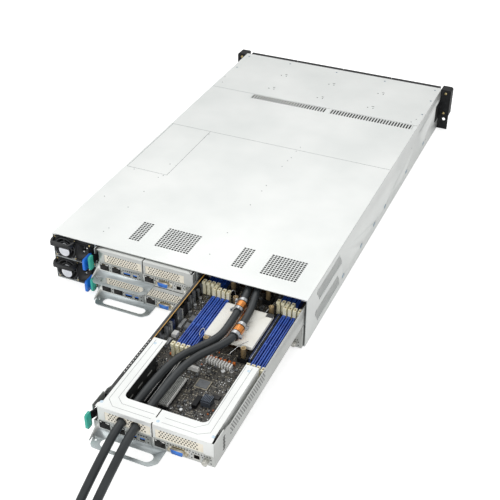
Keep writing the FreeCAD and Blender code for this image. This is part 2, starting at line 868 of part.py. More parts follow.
# Node sleds, in a frame whose origin is the left edge of the bay at the rear panel.
TAB_PIN = (6.5, 14.0)
JACKS = (11.5, 33.0, 92.0)
USB_JACKS = ((53.0, 14.0), (70.0, 9.0))
SERIAL_X = 147.0
VGA_X = 126.5
SCREW_X = 165.5
BRACKETS = ((19.5, 88.0), (93.0, 162.5))
BRACKET_LOW = 18.6
BRACKET_HIGH = 34.6
CAGE_SPLIT = (88.6, 90.4)
HOSE_HOLES = (45.5, 66.0)
HOSE_HOLE_HEIGHT = 26.6


def tray_right():
    return node_pitch - D.node_margin


def board_low():
    return D.thin_wall + D.board_stand


def board_high():
    return board_low() + D.board


def port_windows(gap):
    """Outlines of the jacks on the rear panel, each with a gap round it."""
    low = board_high()
    windows = [rectangle(x - gap, x + 16 + gap, low - gap, low + D.jack_height + gap) for x in JACKS]
    windows += [rectangle(x - gap, x + w + gap, low - gap, low + 7 + gap) for x, w in USB_JACKS]
    windows.append(rectangle(SERIAL_X - gap, SERIAL_X + 10 + gap, low - gap, low + 9 + gap))
    return windows


def make_tray(label):
    """Sheet-metal tray: floor, side walls with tall rear ears, rear panel and pull handle."""
    tray = Piece(label)
    left, right, t = D.node_margin, tray_right(), D.thin_wall
    profile = [(left, 0), (right, 0), (right, D.node_wall_height), (right - t, D.node_wall_height),
               (right - t, t), (left + t, t), (left + t, D.node_wall_height), (left, D.node_wall_height)]
    tray.pad("XZ", 0, node_length, profile)
    slope = D.node_ear_length - 11
    ear = [(0, D.node_wall_height), (D.node_ear_length, D.node_wall_height), (slope, node_height - 3.5),
           (slope - 9, node_height - 3.5), (slope - 9, node_height), (0, node_height)]
    tray.pad("YZ", left, left + t, ear)
    tray.pad("YZ", right - t, right, ear)
    tray.pad("XZ", 0, t, rectangle(left, right, 0, D.panel_height))
    tray.pad("XZ", -2, 0, rectangle(CAGE_SPLIT[0] + 0.1, CAGE_SPLIT[1] - 0.1, 2, D.panel_height))
    handle = [(9, t), (9, -9), (15, -D.handle_reach), (100, -D.handle_reach), (109, -24), (109, t)]
    tray.pad("XY", 0, D.handle_thickness, handle)
    gusset = [(0, 0), (-24, 0), (-24, 2.4), (0, 14)]
    tray.pad("YZ", 9, 9 + t, gusset)
    tray.cut("XY", -1, D.handle_thickness + 1, rectangle(24.5, 100, -28, -12), Ring(17, -20, 1.8))
    tray.cut("XZ", -1, t + 0.5, *port_windows(D.fit_gap))
    tray.cut("XZ", -1, t + 0.5, Ring(SCREW_X, 8, 1.9))
    tray.cut("XY", 13, 31, rectangle(left - 1, left + 5.6, -1, 17))
    tray.pad("XY", t / 2, D.panel_height + 12, Ring(*TAB_PIN, D.pin_radius))
    corners = [(24.5, -28), (24.5, -12), (100, -28), (100, -12)]
    tray.fillet(7.9, "Z", corners)
    tray.fillet(8, "Z", [(109, -24), (100, -D.handle_reach), (15, -D.handle_reach)])
    return tray.body


def cage_outline(side):
    """Top plate of one riser cage: the rear bar and the arm that runs forward."""
    bar, arm = D.cage_bar, D.cage_arm
    if side == "left":
        return [(8, 0), (CAGE_SPLIT[0], 0), (CAGE_SPLIT[0], bar), (33, bar), (33, arm), (13, arm),
                (13, 12), (8, 6)]
    right = tray_right()
    return [(CAGE_SPLIT[1], 0), (right - 4, 0), (right - 4, 6), (172, 12), (172, arm), (153, arm),
            (153, bar), (CAGE_SPLIT[1], bar)]


def make_riser_cage(label, side):
    cage = Piece(f"{label}_{side}")
    t = D.thin_wall
    top = node_height
    cage.pad("XY", top - t, top, cage_outline(side))
    low = D.panel_height + D.fit_gap
    if side == "left":
        face = rectangle(10.5, CAGE_SPLIT[0], low, top - t)
        window = rectangle(BRACKETS[0][0] + 1, BRACKETS[0][1] - 1, BRACKET_LOW + 0.6, BRACKET_HIGH - 0.6)
        flange_x, corner = 13, (33, D.cage_bar)
    else:
        face = rectangle(CAGE_SPLIT[1], tray_right() - t - D.fit_gap, low, top - t)
        window = rectangle(BRACKETS[1][0] + 1, BRACKETS[1][1] - 1, BRACKET_LOW + 0.6, BRACKET_HIGH - 0.6)
        flange_x, corner = 172 - t, (153, D.cage_bar)
    cage.pad("XZ", 0, t, face)
    flange = rectangle(flange_x, flange_x + t, D.cage_bar, D.cage_arm)
    cage.pad("XY", top - 18, top - t, flange)
    cage.cut("XZ", -1, t + 0.5, window)
    cage.fillet(D.cage_corner, "Z", [corner])
    return cage.body


def make_io(label, hose_holes):
    """Jacks with open sockets, VGA connector, slot brackets and thumbscrew on the rear panel."""
    low = board_high()
    jacks = Piece(f"{label}_jacks")
    jacks.pads("XZ", -D.fit_gap, D.jack_depth, port_windows(0.0))
    sockets = [
        rectangle(x + D.jack_wall, x + 16 - D.jack_wall, low + 4.2, low + D.jack_height - D.jack_wall)
        for x in JACKS
    ]
    sockets += [rectangle(x + 0.8, x + w - 0.8, low + 0.9, low + 6.1) for x, w in USB_JACKS]
    sockets.append(rectangle(SERIAL_X + 1, SERIAL_X + 9, low + 1.5, low + 8))
    jacks.cut("XZ", -1, 12, *sockets)
    jacks.cut("XZ", -1, 12, *[rectangle(x + 5, x + 11, low + 1.6, low + 4.3) for x in JACKS])
    vga = Piece(f"{label}_vga")
    shell = [(VGA_X - 9, low + 9.5), (VGA_X - 7.5, low + 2), (VGA_X + 7.5, low + 2), (VGA_X + 9, low + 9.5)]
    vga.pad("XZ", -5.5, 0, shell)
    vga.pad("XZ", -0.9, 0, rectangle(VGA_X - 15, VGA_X + 15, low + 0.5, low + 11))
    vga.pad("XZ", -4, -0.9, Ring(VGA_X - 12.3, low + 5.6, 2.3), Ring(VGA_X + 12.3, low + 5.6, 2.3))
    screw = Piece(f"{label}_thumbscrew")
    screw.pad("XZ", -7, 0, Ring(SCREW_X, 8, 4))
    screw.pad("XZ", 0, 5, Ring(SCREW_X, 8, 1.6))
    plates = []
    for number, (left, right) in enumerate(BRACKETS):
        bracket = Piece(f"{label}_bracket_{number + 1}")
        loops = [rectangle(left, right, BRACKET_LOW, BRACKET_HIGH)]
        if hose_holes and number == 0:
            radius = D.hose_diameter / 2 + 1.5
            loops += [Ring(x, HOSE_HOLE_HEIGHT, radius) for x in HOSE_HOLES]
        t = D.thin_wall
        bracket.pad("XZ", t, t * 2, *loops)
        plates.append(bracket.body)
    members = [jacks.body, vga.body, screw.body] + plates
    if hose_holes:
        members += [grommet(f"{label}_grommet_{i + 1}", x) for i, x in enumerate(HOSE_HOLES)]
    return members


def grommet(label, x):
    """A rubber ring with a lip on each side of the bracket."""
    ring = Piece(label)
    t = D.thin_wall
    outer = D.hose_diameter / 2 + 1.5 - 0.1
    bore = D.hose_diameter / 2 + 0.8
    loops = ring_loops(x, HOSE_HOLE_HEIGHT, bore, outer)
    ring.pad("XZ", t - 1.6, t * 2 + 1, *loops)
    return ring.body


# Memory banks: left edge of each bank of four sockets, and how far its rear end lies from the
# board's far end.
BANKS = ((32.0, 306.0), (147.0, 306.0), (9.0, 157.0), (132.0, 157.0))
SOCKETS_PER_BANK = 4


def socket_places():
    return [
        (x + D.socket_pitch * i, board_length - back)
        for x, back in BANKS
        for i in range(SOCKETS_PER_BANK)
    ]


def make_sockets(label, slotted):
    bank = Piece(label)
    low, high = board_high(), board_high() + D.socket_height
    strips = [rectangle(x, x + D.socket_width, y, y + D.socket_length) for x, y in socket_places()]
    bank.pads("XY", low, high, strips)
    if slotted:
        middle = D.socket_width / 2
        key = D.socket_length * 0.45
        slots = []
        for x, y in socket_places():
            for start, end in ((4, key), (key + 2, D.socket_length - 4)):
                slots.append(rectangle(x + middle - 0.8, x + middle + 0.8, y + start, y + end))
        bank.cut("XY", high - 5, high + 1, *slots)
    return bank.body


def make_latches(label):
    latch = Piece(label)
    low = board_high()
    feet = []
    for x, y in socket_places():
        for end in (y - D.latch_length - D.fit_gap, y + D.socket_length + D.fit_gap):
            feet.append(rectangle(x, x + D.socket_width, end, end + D.latch_length))
    latch.pads("XY", low, low + D.latch_height, feet)
    return latch.body


def make_board(label):
    """The main board on its stand-offs with the edge connector that meets the midplane."""
    board = Piece(label)
    left, right = D.node_margin + D.thin_wall + 1, tray_right() - D.thin_wall - 1
    low, high = board_low(), board_high()
    length = board_length
    board.pad("XY", low, high, rectangle(left + 5, right, 5, length))
    rows = grid(24, (length - 44) / 3, 4)
    feet = [Ring(x, y, 3) for x in (left + 12, right - 8) for y in rows]
    board.pads("XY", D.thin_wall, low, feet)
    edge = rectangle(50, 130, high, high + 9)
    board.pad("XZ", length - 12, length + 2, edge)
    return board.body


# Cold plates: centre of each plate, from the left and from the board's far end, its half sizes
# and the posts round it.
PLATES = ((100.5, 229.0), (81.0, 92.0))
PLATE_HALF = (38.0, 40.0)
PLATE_TOP = 21.5
POST_HALF = (29.0, 51.0)


def plate_places():
    return [(x, board_length - back) for x, back in PLATES]


def make_cold_plates(label):
    """Two cold plates with copper bases, hose fittings and spring posts at their corners."""
    members = []
    low = board_high()
    for number, (x, y) in enumerate(plate_places(), start=1):
        plate = Piece(f"{label}_{number}")
        half_x, half_y = PLATE_HALF
        plate.pad("XY", PLATE_TOP - 5, PLATE_TOP, rectangle(x - half_x, x + half_x, y - half_y, y + half_y))
        plate.pad("XY", low, PLATE_TOP - 5, rectangle(x - 26, x + 26, y - 32, y + 32))
        plate.fillet(2, "Z", [(x - half_x, y - half_y), (x + half_x, y - half_y),
                              (x - half_x, y + half_y), (x + half_x, y + half_y)])
        members.append(plate.body)
        for i, (sx, sy) in enumerate(((-1, -1), (1, -1), (-1, 1), (1, 1)), start=1):
            post = Piece(f"{label}_{number}_post_{i}")
            spot = (x + sx * POST_HALF[0], y + sy * POST_HALF[1])
            post.pad("XY", low, 27, Ring(*spot, 3.9))
            post.cut("XY", 22, 28, Ring(*spot, 2.0))
            members.append(post.body)
    return members


def make_heat_sinks(label):
    """Finned heat sinks of an air-cooled node."""
    members = []
    low = board_high()
    for number, (x, y) in enumerate(plate_places(), start=1):
        sink = Piece(f"{label}_{number}")
        half_x, half_y = PLATE_HALF
        sink.pad("XY", low, low + 8, rectangle(x - half_x, x + half_x, y - half_y, y + half_y))
        fins = [rectangle(x - half_x + 6.2 * i, x - half_x + 6.2 * i + 1.2, y - half_y, y + half_y)
                for i in range(13)]
        sink.pads("XY", low + 8, low + 24, fins)
        members.append(sink.body)
    return members


def make_nodes():
    """Three closed nodes whose tray carries all that is fixed in it, and one that is pulled out."""
    tray = make_tray("sled")
    cages = [make_riser_cage("riser_cage", side) for side in ("left", "right")]
    board = make_board("main_board")
    fixed = [tray, *cages, board, make_sockets("memory", False), *make_heat_sinks("heat_sink")]
    closed_io = make_io("closed_io", False)
    pad_size = (D.node_tab_reach, D.node_tab_height)
    tab = release_tab("node_release", TAB_PIN, -2, 5, pad_size, (16, 28))
    closed = (("upper_left", supply_wall_x, upper_floor), ("lower_left", supply_wall_x, lower_floor),
              ("lower_right", middle_wall_x, lower_floor))
    for name, x, floor in closed:
        pieces = {"tray": fixed, "io": closed_io, "tab": [tab]}
        for kind, members in pieces.items():
            placed(f"node_{name}_{kind}", members, x, rear - D.node_proud, floor)
    pulled = {
        "tray": [tray],
        "riser_cages": cages,
        "board": [board],
        "sockets": [make_sockets("slotted_memory", True)],
        "latches": [make_latches("memory_latches")],
        "cold_plates": make_cold_plates("cold_plate"),
        "io": make_io("pulled_io", True),
        "tab": [tab],
    }
    along = rear - D.node_proud - D.node_out
    for kind, members in pulled.items():
        placed(f"node_upper_right_{kind}", members, middle_wall_x, along, upper_floor)


# Coolant hoses. Points are in the frame of the pulled node's bay, measured from the chassis rear.
SUPPLY_ROUTE = (
    (112, 60, 74), (119, 28, 76), (126, -4, 77), (130.5, -36, 77), (133, -74, 77), (133, -112, 77),
    (118, -142, 77), (101, -168, 76.5), (91.5, -204, 76), (87, -262, 73.4), (85.5, -322, 70.2),
    (85, -354, 58.5), (84.5, -386, 44.5), (84, -416, 29.5), (84.5, -446, 15.5), (83.5, -474, 8.2),
    (84, -498, 6), (84.2, -533, 6), (104, -568, 6), (139, -588, 6), (176, -588.5, 9.2), (212, -588.5, 9.2),
)
RETURN_ROUTE = (
    (136, 60, 74), (136, 28, 76), (139.5, -4, 77), (147.5, -38, 77), (150.5, -76, 77), (150, -112, 77),
    (135.5, -140, 77), (119, -168, 77), (110.5, -205, 76.5), (107.5, -262, 73.8), (106, -322, 70.2),
    (106, -355, 59), (105.5, -388, 45), (105, -418, 30.5), (105.5, -447, 17), (104.5, -476, 8),
    (105, -512, 6), (123, -544, 6), (155, -562, 6), (189, -562.5, 9.2), (214, -562.5, 9.2),
)


def rounded_route(points):
    """Straight runs joined by arcs as large as their runs allow, with the arcs' radii."""
    edges, radii = [], []
    start = points[0]
    for before, corner, after in zip(points, points[1:], points[2:]):
        back, ahead = before - corner, after - corner
        turn = math.pi - back.getAngle(ahead)
        setback = 0.45 * min(back.Length, ahead.Length)
        entry = corner + back.normalize() * setback
        leave = corner + ahead.normalize() * setback
        radii.append(setback / math.tan(turn / 2))
        bisector = (entry + leave) * 0.5 - corner
        reach = math.hypot(setback, radii[-1]) - radii[-1]
        middle = corner + bisector.normalize() * reach
        edges.append(Part.LineSegment(start, entry).toShape())
        edges.append(Part.Arc(entry, middle, leave).toShape())
        start = leave
    edges.append(Part.LineSegment(start, points[-1]).toShape())
    return Part.Wire(edges), radii


def make_hose(label, route):
    points = [Vector(x, y, z) + Vector(0, float(rear), 0) for x, y, z in route]
    path, radii = rounded_route(points)
    radius = float(D.hose_diameter) / 2
    ring = Part.Wire(Part.makeCircle(radius, points[0], points[1] - points[0]))
    hose = path.makePipeShell([ring], True, False)
    expected = math.pi * radius * radius * path.Length
    print(f"{label}: {path.Length:.1f} mm long, arcs {[round(r) for r in radii]} mm, "
          f"volume ratio {hose.Volume / expected:.5f}")
    keep(feature(label, hose))
    return path


# Tees: route, place along it from the chassis rear, and the side of the clamps' screws.
TEES = ((SUPPLY_ROUTE, -40.0, -1), (RETURN_ROUTE, -92.0, 1))
CLAMP_OFFSET = 10.5


def point_at(route, along):
    """Centre of the hose and its direction where it passes a given place along the chassis."""
    for start, end in zip(route, route[1:]):
        if end[1] <= along <= start[1]:
            share = (start[1] - along) / (start[1] - end[1])
            a, b = Vector(*start), Vector(*end)
            return a + (b - a) * share + Vector(0, float(rear), 0), (b - a).normalize()
    raise ValueError("the hose does not pass there")


def sleeve(centre, direction, inner, outer, length):
    start = centre - direction * (length / 2)
    tube = Part.makeCylinder(outer, length, start, direction)
    return tube.cut(Part.makeCylinder(inner, length, start, direction))


def make_fittings(label):
    """Tee sleeves with their necks to the plate, the clamps beside them and the end elbows."""
    solids = []
    hose = float(D.hose_diameter) / 2
    bore = hose + 0.6
    plate_top = float(upper_floor) + PLATE_TOP
    for route, along, screw_side in TEES:
        centre, direction = point_at(route, along)
        tee = sleeve(centre, direction, bore, bore + 1.4, 12.0)
        neck_top = centre.z - bore - 0.3
        foot = Vector(centre.x, centre.y, plate_top)
        neck = Part.makeCylinder(4.0, neck_top - plate_top, foot, Vector(0, 0, 1))
        solids.append(tee.fuse(neck))
        for side in (-1, 1):
            spot, heading = point_at(route, along + side * CLAMP_OFFSET)
            ring = sleeve(spot, heading, bore, bore + 1.6, 6.0)
            middle = spot + Vector((bore + 2.8) * screw_side, 0, 0)
            screw = Part.makeBox(4.0, 5.0, 5.0, middle - Vector(2.0, 2.5, 2.5))
            solids.append(ring.fuse(screw))
    for route in (SUPPLY_ROUTE, RETURN_ROUTE):
        start, direction = point_at(route, route[0][1])
        spot = start - direction * 6.5
        height = start.z + 6.0 - plate_top
        foot = Vector(spot.x, spot.y, plate_top)
        solids.append(Part.makeCylinder(6.0, height, foot, Vector(0, 0, 1)))
    keep(feature(label, Part.makeCompound(solids)))


def make_couplings(label):
    """Quick couplings on the far ends of the hoses, turned about the hose axis."""
    radius, length = float(D.coupling_radius), float(D.coupling_length)
    hose = float(D.hose_diameter) / 2
    solids = []
    for route in (SUPPLY_ROUTE, RETURN_ROUTE):
        end = Vector(*route[-1]) + Vector(0, float(rear), 0)
        direction = (Vector(*route[-1]) - Vector(*route[-2])).normalize()
        steps = [(0, 0), (0, hose + 0.8), (10, hose + 0.8), (10, radius), (24, radius),
                 (24, radius - 1.5), (28, radius - 1.5), (28, radius), (length - 6, radius),
                 (length, radius - 2.5), (length, 0)]
        profile = wire_of([Vector(r, 0, s) for s, r in steps])
        turned = Part.Face(profile).revolve(Vector(), Vector(0, 0, 1), 360)
        turned.Placement = Placement(end, Rotation(Vector(0, 0, 1), direction))
        solids.append(turned)
    keep(feature(label, Part.makeCompound(solids)))


def make_all():
    make_pan()
    make_dividers()
    make_rear_cover()
    make_supply_cover()
    make_fan_cover()
    make_front_cover()
    make_screws()
    make_cage()
    make_boards()
    make_fan_frames()
    make_ear("ear_left", -1)
    make_ear("ear_right", 1)
    make_fan_rotors()
    make_buttons()
    make_supplies()
    make_carriers()
    make_nodes()
    make_hose("hose_supply", SUPPLY_ROUTE)
    make_hose("hose_return", RETURN_ROUTE)
    make_fittings("hose_fittings")
    make_couplings("hose_couplings")


def check_and_write():
    document.recompute()
    for item in document.Objects:
        if "Invalid" in item.State or "Error" in item.State:
            raise ValueError(f"{item.Label} is {item.State}")
    os.makedirs("parts", exist_ok=True)
    for item in nodes:
        shape = item.Shape
        if shape.isNull() or not shape.isValid() or not shape.Solids:
            raise ValueError(f"{item.Label} has no valid solid")
    for item in nodes:
        item.Shape.exportStep(os.path.join("parts", f"{item.Label}.step"))
    print(f"{len(nodes)} sub-parts, {sum(len(item.Shape.Solids) for item in nodes)} solids")


make_all()
check_and_write()
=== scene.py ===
# A 2U rack chassis with four slide-out server nodes, seen from the rear with one node pulled out.
import bpy
import json
import math
import random
from mathutils import Matrix, Vector


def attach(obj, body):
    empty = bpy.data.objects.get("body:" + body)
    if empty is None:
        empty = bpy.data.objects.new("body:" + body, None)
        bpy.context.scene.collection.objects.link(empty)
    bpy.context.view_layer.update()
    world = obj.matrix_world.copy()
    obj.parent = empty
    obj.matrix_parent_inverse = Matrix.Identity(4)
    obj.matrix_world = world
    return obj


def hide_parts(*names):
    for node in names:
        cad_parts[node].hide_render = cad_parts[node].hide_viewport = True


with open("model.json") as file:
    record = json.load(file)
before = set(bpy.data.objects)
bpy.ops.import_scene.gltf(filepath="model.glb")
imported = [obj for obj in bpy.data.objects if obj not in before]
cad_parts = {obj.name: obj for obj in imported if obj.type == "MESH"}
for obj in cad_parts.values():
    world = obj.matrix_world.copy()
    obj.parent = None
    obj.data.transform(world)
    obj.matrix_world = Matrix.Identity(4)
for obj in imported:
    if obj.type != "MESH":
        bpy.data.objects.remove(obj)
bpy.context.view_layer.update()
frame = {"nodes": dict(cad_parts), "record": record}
nodes = frame["nodes"]
mm = 0.001
chassis = {"rear": -391.0, "front": 391.0, "top": 87.5, "half": 220.0}
bay = {"left": -140.0, "right": 40.0, "lower": 1.5, "upper": 44.05}
pulled = {"x": 40.0, "y": -701.0, "z": 44.05}  # corner of the pulled node's own frame
closedRear = -399.0  # rear panels of the nodes that are in their bays


# Materials

def linear(hexCode):
    channels = [int(hexCode[i : i + 2], 16) / 255 for i in (1, 3, 5)]
    return [c / 12.92 if c <= 0.04045 else ((c + 0.055) / 1.055) ** 2.4 for c in channels] + [1.0]


def addNode(material, kind, settings=None, links=None):
    # settings are properties or socket values, links are socket: (node, its output)
    node = material.node_tree.nodes.new(kind)
    for name, value in (settings or {}).items():
        if isinstance(name, int) or name in node.inputs:
            node.inputs[name].default_value = value
        else:
            setattr(node, name, value)
    for socket, (source, output) in (links or {}).items():
        material.node_tree.links.new(source.outputs[output], node.inputs[socket])
    return node


def newMaterial(name, settings):
    material = bpy.data.materials.new(name)
    material.use_nodes = True
    shader = material.node_tree.nodes["Principled BSDF"]
    for socket, value in settings.items():
        shader.inputs[socket].default_value = value
    place = addNode(material, "ShaderNodeTexCoord")
    return material, shader, place


def link(material, source, output, target, socket):
    material.node_tree.links.new(source.outputs[output], target.inputs[socket])


def mottle(material, shader, place, look):
    # colour drift, roughness drift and a fine bump, each at a size in millimetres
    drift = addNode(material, "ShaderNodeTexNoise", {"Scale": 1000 / look["driftMm"], "Detail": 3.0},
                    {"Vector": (place, "Object")})
    ramp = addNode(material, "ShaderNodeValToRGB", {}, {"Fac": (drift, "Fac")})
    ramp.color_ramp.elements[0].position = 0.3
    ramp.color_ramp.elements[1].position = 0.7
    ramp.color_ramp.elements[0].color = linear(look["dark"])
    ramp.color_ramp.elements[1].color = linear(look["light"])
    link(material, ramp, "Color", shader, "Base Color")
    grain = addNode(material, "ShaderNodeTexNoise", {"Scale": 1000 / look["grainMm"], "Detail": 4.0},
                    {"Vector": (place, "Object")})
    low, high = look["rough"]
    rough = addNode(material, "ShaderNodeMapRange", {"To Min": low, "To Max": high},
                    {"Value": (grain, "Fac")})
    link(material, rough, "Result", shader, "Roughness")
    bump = addNode(material, "ShaderNodeBump", {"Strength": look["bump"], "Distance": 0.0002},
                   {"Height": (grain, "Fac")})
    link(material, bump, "Normal", shader, "Normal")


def simpleMaterial(name, look):
    material, shader, place = newMaterial(name, look.get("shader", {}))
    mottle(material, shader, place, look)
    return material


# zinc-coated steel sheet, rolled: satin, faintly mottled, with a cool grey-green cast
zincSheet = simpleMaterial("zincSteelSheet", {
    "shader": {"Metallic": 0.75}, "dark": "#e3e6e4", "light": "#eef0ee", "driftMm": 110, "grainMm": 2.0,
    "rough": (0.34, 0.46), "bump": 0.05})
# the same sheet seen from inside the bays, duller, and painted darker as the shade that falls inside them
zincInnerShaded = simpleMaterial("zincSteelInnerShade", {
    "shader": {"Metallic": 0.7}, "dark": "#b3bbbb", "light": "#c9cfcf", "driftMm": 60, "grainMm": 2.0,
    "rough": (0.38, 0.5), "bump": 0.05})
# tin-plated steel of the node sleds: greyer than the cover, smoother
traySteel = simpleMaterial("tinPlatedSteel", {
    "shader": {"Metallic": 0.6}, "dark": "#c4c6c3", "light": "#d3d5d2", "driftMm": 50, "grainMm": 1.5,
    "rough": (0.3, 0.42), "bump": 0.04})
# moulded ABS, black, fine spark-eroded texture
blackAbs = simpleMaterial("mouldedBlackAbs", {
    "shader": {"Specular IOR Level": 0.25}, "dark": "#131415", "light": "#1c1d1f", "driftMm": 30,
    "grainMm": 0.5, "rough": (0.42, 0.55), "bump": 0.25})
# black powder coat on steel: dull, finely grained
blackCoat = simpleMaterial("blackPowderCoat", {
    "dark": "#1a1b1c", "light": "#242526", "driftMm": 25, "grainMm": 0.4,
    "rough": (0.4, 0.52), "bump": 0.2})
# glass-fibre board under dark solder mask: brownish black, satin
solderMask = simpleMaterial("darkSolderMask", {
    "dark": "#2b2a27", "light": "#3a3834", "driftMm": 9, "grainMm": 1.2,
    "rough": (0.38, 0.52), "bump": 0.1})
# moulded nylon of the release tabs: strong blue, smooth
blueNylon = simpleMaterial("mouldedBlueNylon", {
    "dark": "#1a6fdc", "light": "#2480f0", "driftMm": 20, "grainMm": 0.8,
    "rough": (0.3, 0.4), "bump": 0.08})
# the same nylon on the nodes' tabs: teal, smooth
tealNylon = simpleMaterial("mouldedTealNylon", {
    "dark": "#35ab98", "light": "#45c2ae", "driftMm": 20, "grainMm": 0.8,
    "rough": (0.3, 0.4), "bump": 0.08})
# liquid-crystal polymer of the memory sockets: deep blue, satin
blueSocket = simpleMaterial("mouldedBlueSocket", {
    "dark": "#2347a2", "light": "#3566cc", "driftMm": 14, "grainMm": 0.8,
    "rough": (0.36, 0.48), "bump": 0.1})
# moulded latches of the memory sockets: pale cream, satin
creamLatch = simpleMaterial("mouldedCreamLatch", {
    "dark": "#f4edc8", "light": "#fcf8de", "driftMm": 10, "grainMm": 0.8,
    "rough": (0.35, 0.45), "bump": 0.08})
# powder coat of the cold plates: ivory, almost white, satin
ivoryPlate = simpleMaterial("ivoryColdPlate", {
    "dark": "#f8f6ec", "light": "#fdfcf5", "driftMm": 30, "grainMm": 0.8,
    "rough": (0.35, 0.48), "bump": 0.06})
# turned brass of screws: pale yellow metal with a soft gleam
turnedBrass = simpleMaterial("turnedBrass", {
    "shader": {"Metallic": 1.0}, "dark": "#b5a06c", "light": "#d8c796", "driftMm": 4, "grainMm": 0.4,
    "rough": (0.28, 0.4), "bump": 0.08})
# drawn copper tube: orange metal, fairly glossy
drawnCopper = simpleMaterial("drawnCopper", {
    "shader": {"Metallic": 0.9}, "dark": "#d98a48", "light": "#f0a05a", "driftMm": 6, "grainMm": 0.5,
    "rough": (0.25, 0.36), "bump": 0.05})
# stainless steel of clamps and couplings: bright, neutral metal
stainless = simpleMaterial("stainlessSteel", {
    "shader": {"Metallic": 1.0}, "dark": "#b6b9bb", "light": "#d2d4d5", "driftMm": 5, "grainMm": 0.5,
    "rough": (0.22, 0.34), "bump": 0.05})
# extruded EPDM rubber: dark grey, matt with a soft sheen
hoseRubber = simpleMaterial("extrudedEpdm", {
    "dark": "#2a2d2f", "light": "#363a3c", "driftMm": 30, "grainMm": 0.6,
    "rough": (0.3, 0.4), "bump": 0.06})
# black polyester insulation film, slightly glossy; the same near-black is laid under the vents as painted shade
blackFilmAndVentShade = simpleMaterial("blackPolyesterFilmAndVentShade", {
    "dark": "#151617", "light": "#1f2021", "driftMm": 40, "grainMm": 3.0,
    "rough": (0.28, 0.4), "bump": 0.05})
# amber polyimide tape: yellow-brown, glossy
amberTape = simpleMaterial("amberPolyimideTape", {
    "dark": "#d6a03e", "light": "#f0be62", "driftMm": 12, "grainMm": 1.5,
    "rough": (0.2, 0.32), "bump": 0.03})
# liquid-crystal polymer inside jacks and connectors, black and dull, painted near-black as the shade of their
# cavities; also painted shade on the brackets' faces other than their rear face
jackInsideShade = simpleMaterial("mouldedJackInsideShade", {
    "dark": "#121212", "light": "#1c1b1a", "driftMm": 8, "grainMm": 0.6,
    "rough": (0.45, 0.6), "bump": 0.1})
# gold flash over nickel on contacts and the display connector's rim: muted yellow metal
goldFlash = simpleMaterial("goldFlashedShell", {
    "shader": {"Metallic": 0.9}, "dark": "#b59d63", "light": "#d2bd86", "driftMm": 5, "grainMm": 0.5,
    "rough": (0.25, 0.36), "bump": 0.04})
# bare zinc sheet of the pull handles: greyer than the sleds
zincHandle = simpleMaterial("greyZincHandle", {
    "shader": {"Metallic": 0.75}, "dark": "#a9b1b3", "light": "#c3cacb", "driftMm": 26, "grainMm": 1.2,
    "rough": (0.34, 0.46), "bump": 0.08})
# zinc-plated screws, blue-passivated: pale bluish metal
blueZinc = simpleMaterial("bluePassivatedScrew", {
    "shader": {"Metallic": 0.9}, "dark": "#a9bcc9", "light": "#c9d8e2", "driftMm": 3, "grainMm": 0.4,
    "rough": (0.25, 0.38), "bump": 0.08})
# aluminium of capacitor cans and small shields: bright metal
canAluminium = simpleMaterial("aluminiumCan", {
    "shader": {"Metallic": 0.9}, "dark": "#b9bcbc", "light": "#e4e5e4", "driftMm": 5, "grainMm": 0.5,
    "rough": (0.28, 0.4), "bump": 0.05})
# moulded epoxy of chip packages: nearly black, dull
chipEpoxy = simpleMaterial("mouldedChipEpoxy", {
    "dark": "#1d1d1e", "light": "#29292a", "driftMm": 6, "grainMm": 0.4,
    "rough": (0.5, 0.62), "bump": 0.08})
# moulded tongues of the fast USB jacks: bright blue, smooth
usbBlue = simpleMaterial("mouldedUsbBlue", {
    "dark": "#2f6fd2", "light": "#4b90ea", "driftMm": 8, "grainMm": 0.6,
    "rough": (0.3, 0.4), "bump": 0.05})
# printed circuit boards seen from afar: many tones within a few millimetres
speckledBoard = simpleMaterial("speckledBoard", {
    "dark": "#262524", "light": "#66625a", "driftMm": 2.6, "grainMm": 0.8,
    "rough": (0.4, 0.6), "bump": 0.3})
# machined copper under the cold plates, tarnished: brown metal
darkCopper = simpleMaterial("tarnishedCopper", {
    "shader": {"Metallic": 1.0}, "dark": "#7c5536", "light": "#a4744c", "driftMm": 8, "grainMm": 0.8,
    "rough": (0.3, 0.45), "bump": 0.1})
# blackened steel wire of the supplies' guard: dark, with glints
guardSteel = simpleMaterial("blackenedGuardWire", {
    "shader": {"Metallic": 0.4}, "dark": "#2b2c2e", "light": "#4a4c4f", "driftMm": 8, "grainMm": 0.8,
    "rough": (0.25, 0.35), "bump": 0.05})
# lids of chips and coils: flat mid grey
greyLid = simpleMaterial("greyChipLid", {
    "dark": "#6a6d70", "light": "#7d8083", "driftMm": 6, "grainMm": 0.5,
    "rough": (0.4, 0.5), "bump": 0.05})
# anodised aluminium of small heat sinks: blue-grey, satin
blueGreyFins = simpleMaterial("anodisedHeatSink", {
    "shader": {"Metallic": 0.5}, "dark": "#565d68", "light": "#6e7682", "driftMm": 6, "grainMm": 0.6,
    "rough": (0.35, 0.48), "bump": 0.05})
# fired ceramic of small parts: brownish to pale beige
beigeCeramic = simpleMaterial("beigeCeramicParts", {
    "dark": "#8d8676", "light": "#c2baa6", "driftMm": 4, "grainMm": 0.6,
    "rough": (0.4, 0.55), "bump": 0.05})
# moulded nylon of connectors and jack corners: white, satin
whiteNylon = simpleMaterial("mouldedWhiteNylon", {
    "dark": "#e6e6e2", "light": "#f6f6f3", "driftMm": 6, "grainMm": 0.6,
    "rough": (0.35, 0.48), "bump": 0.05})
# lacquer of small coils and tantalums: orange
orangeFerrite = simpleMaterial("orangeLacqueredCoil", {
    "dark": "#c9611d", "light": "#e07c30", "driftMm": 4, "grainMm": 0.6,
    "rough": (0.3, 0.42), "bump": 0.05})
# paper of the plain hub labels: white with a little blue
bareLabel = simpleMaterial("bareWhiteLabel", {
    "dark": "#e3e6ec", "light": "#f2f4f8", "driftMm": 8, "grainMm": 1.0,
    "rough": (0.4, 0.5), "bump": 0.03})
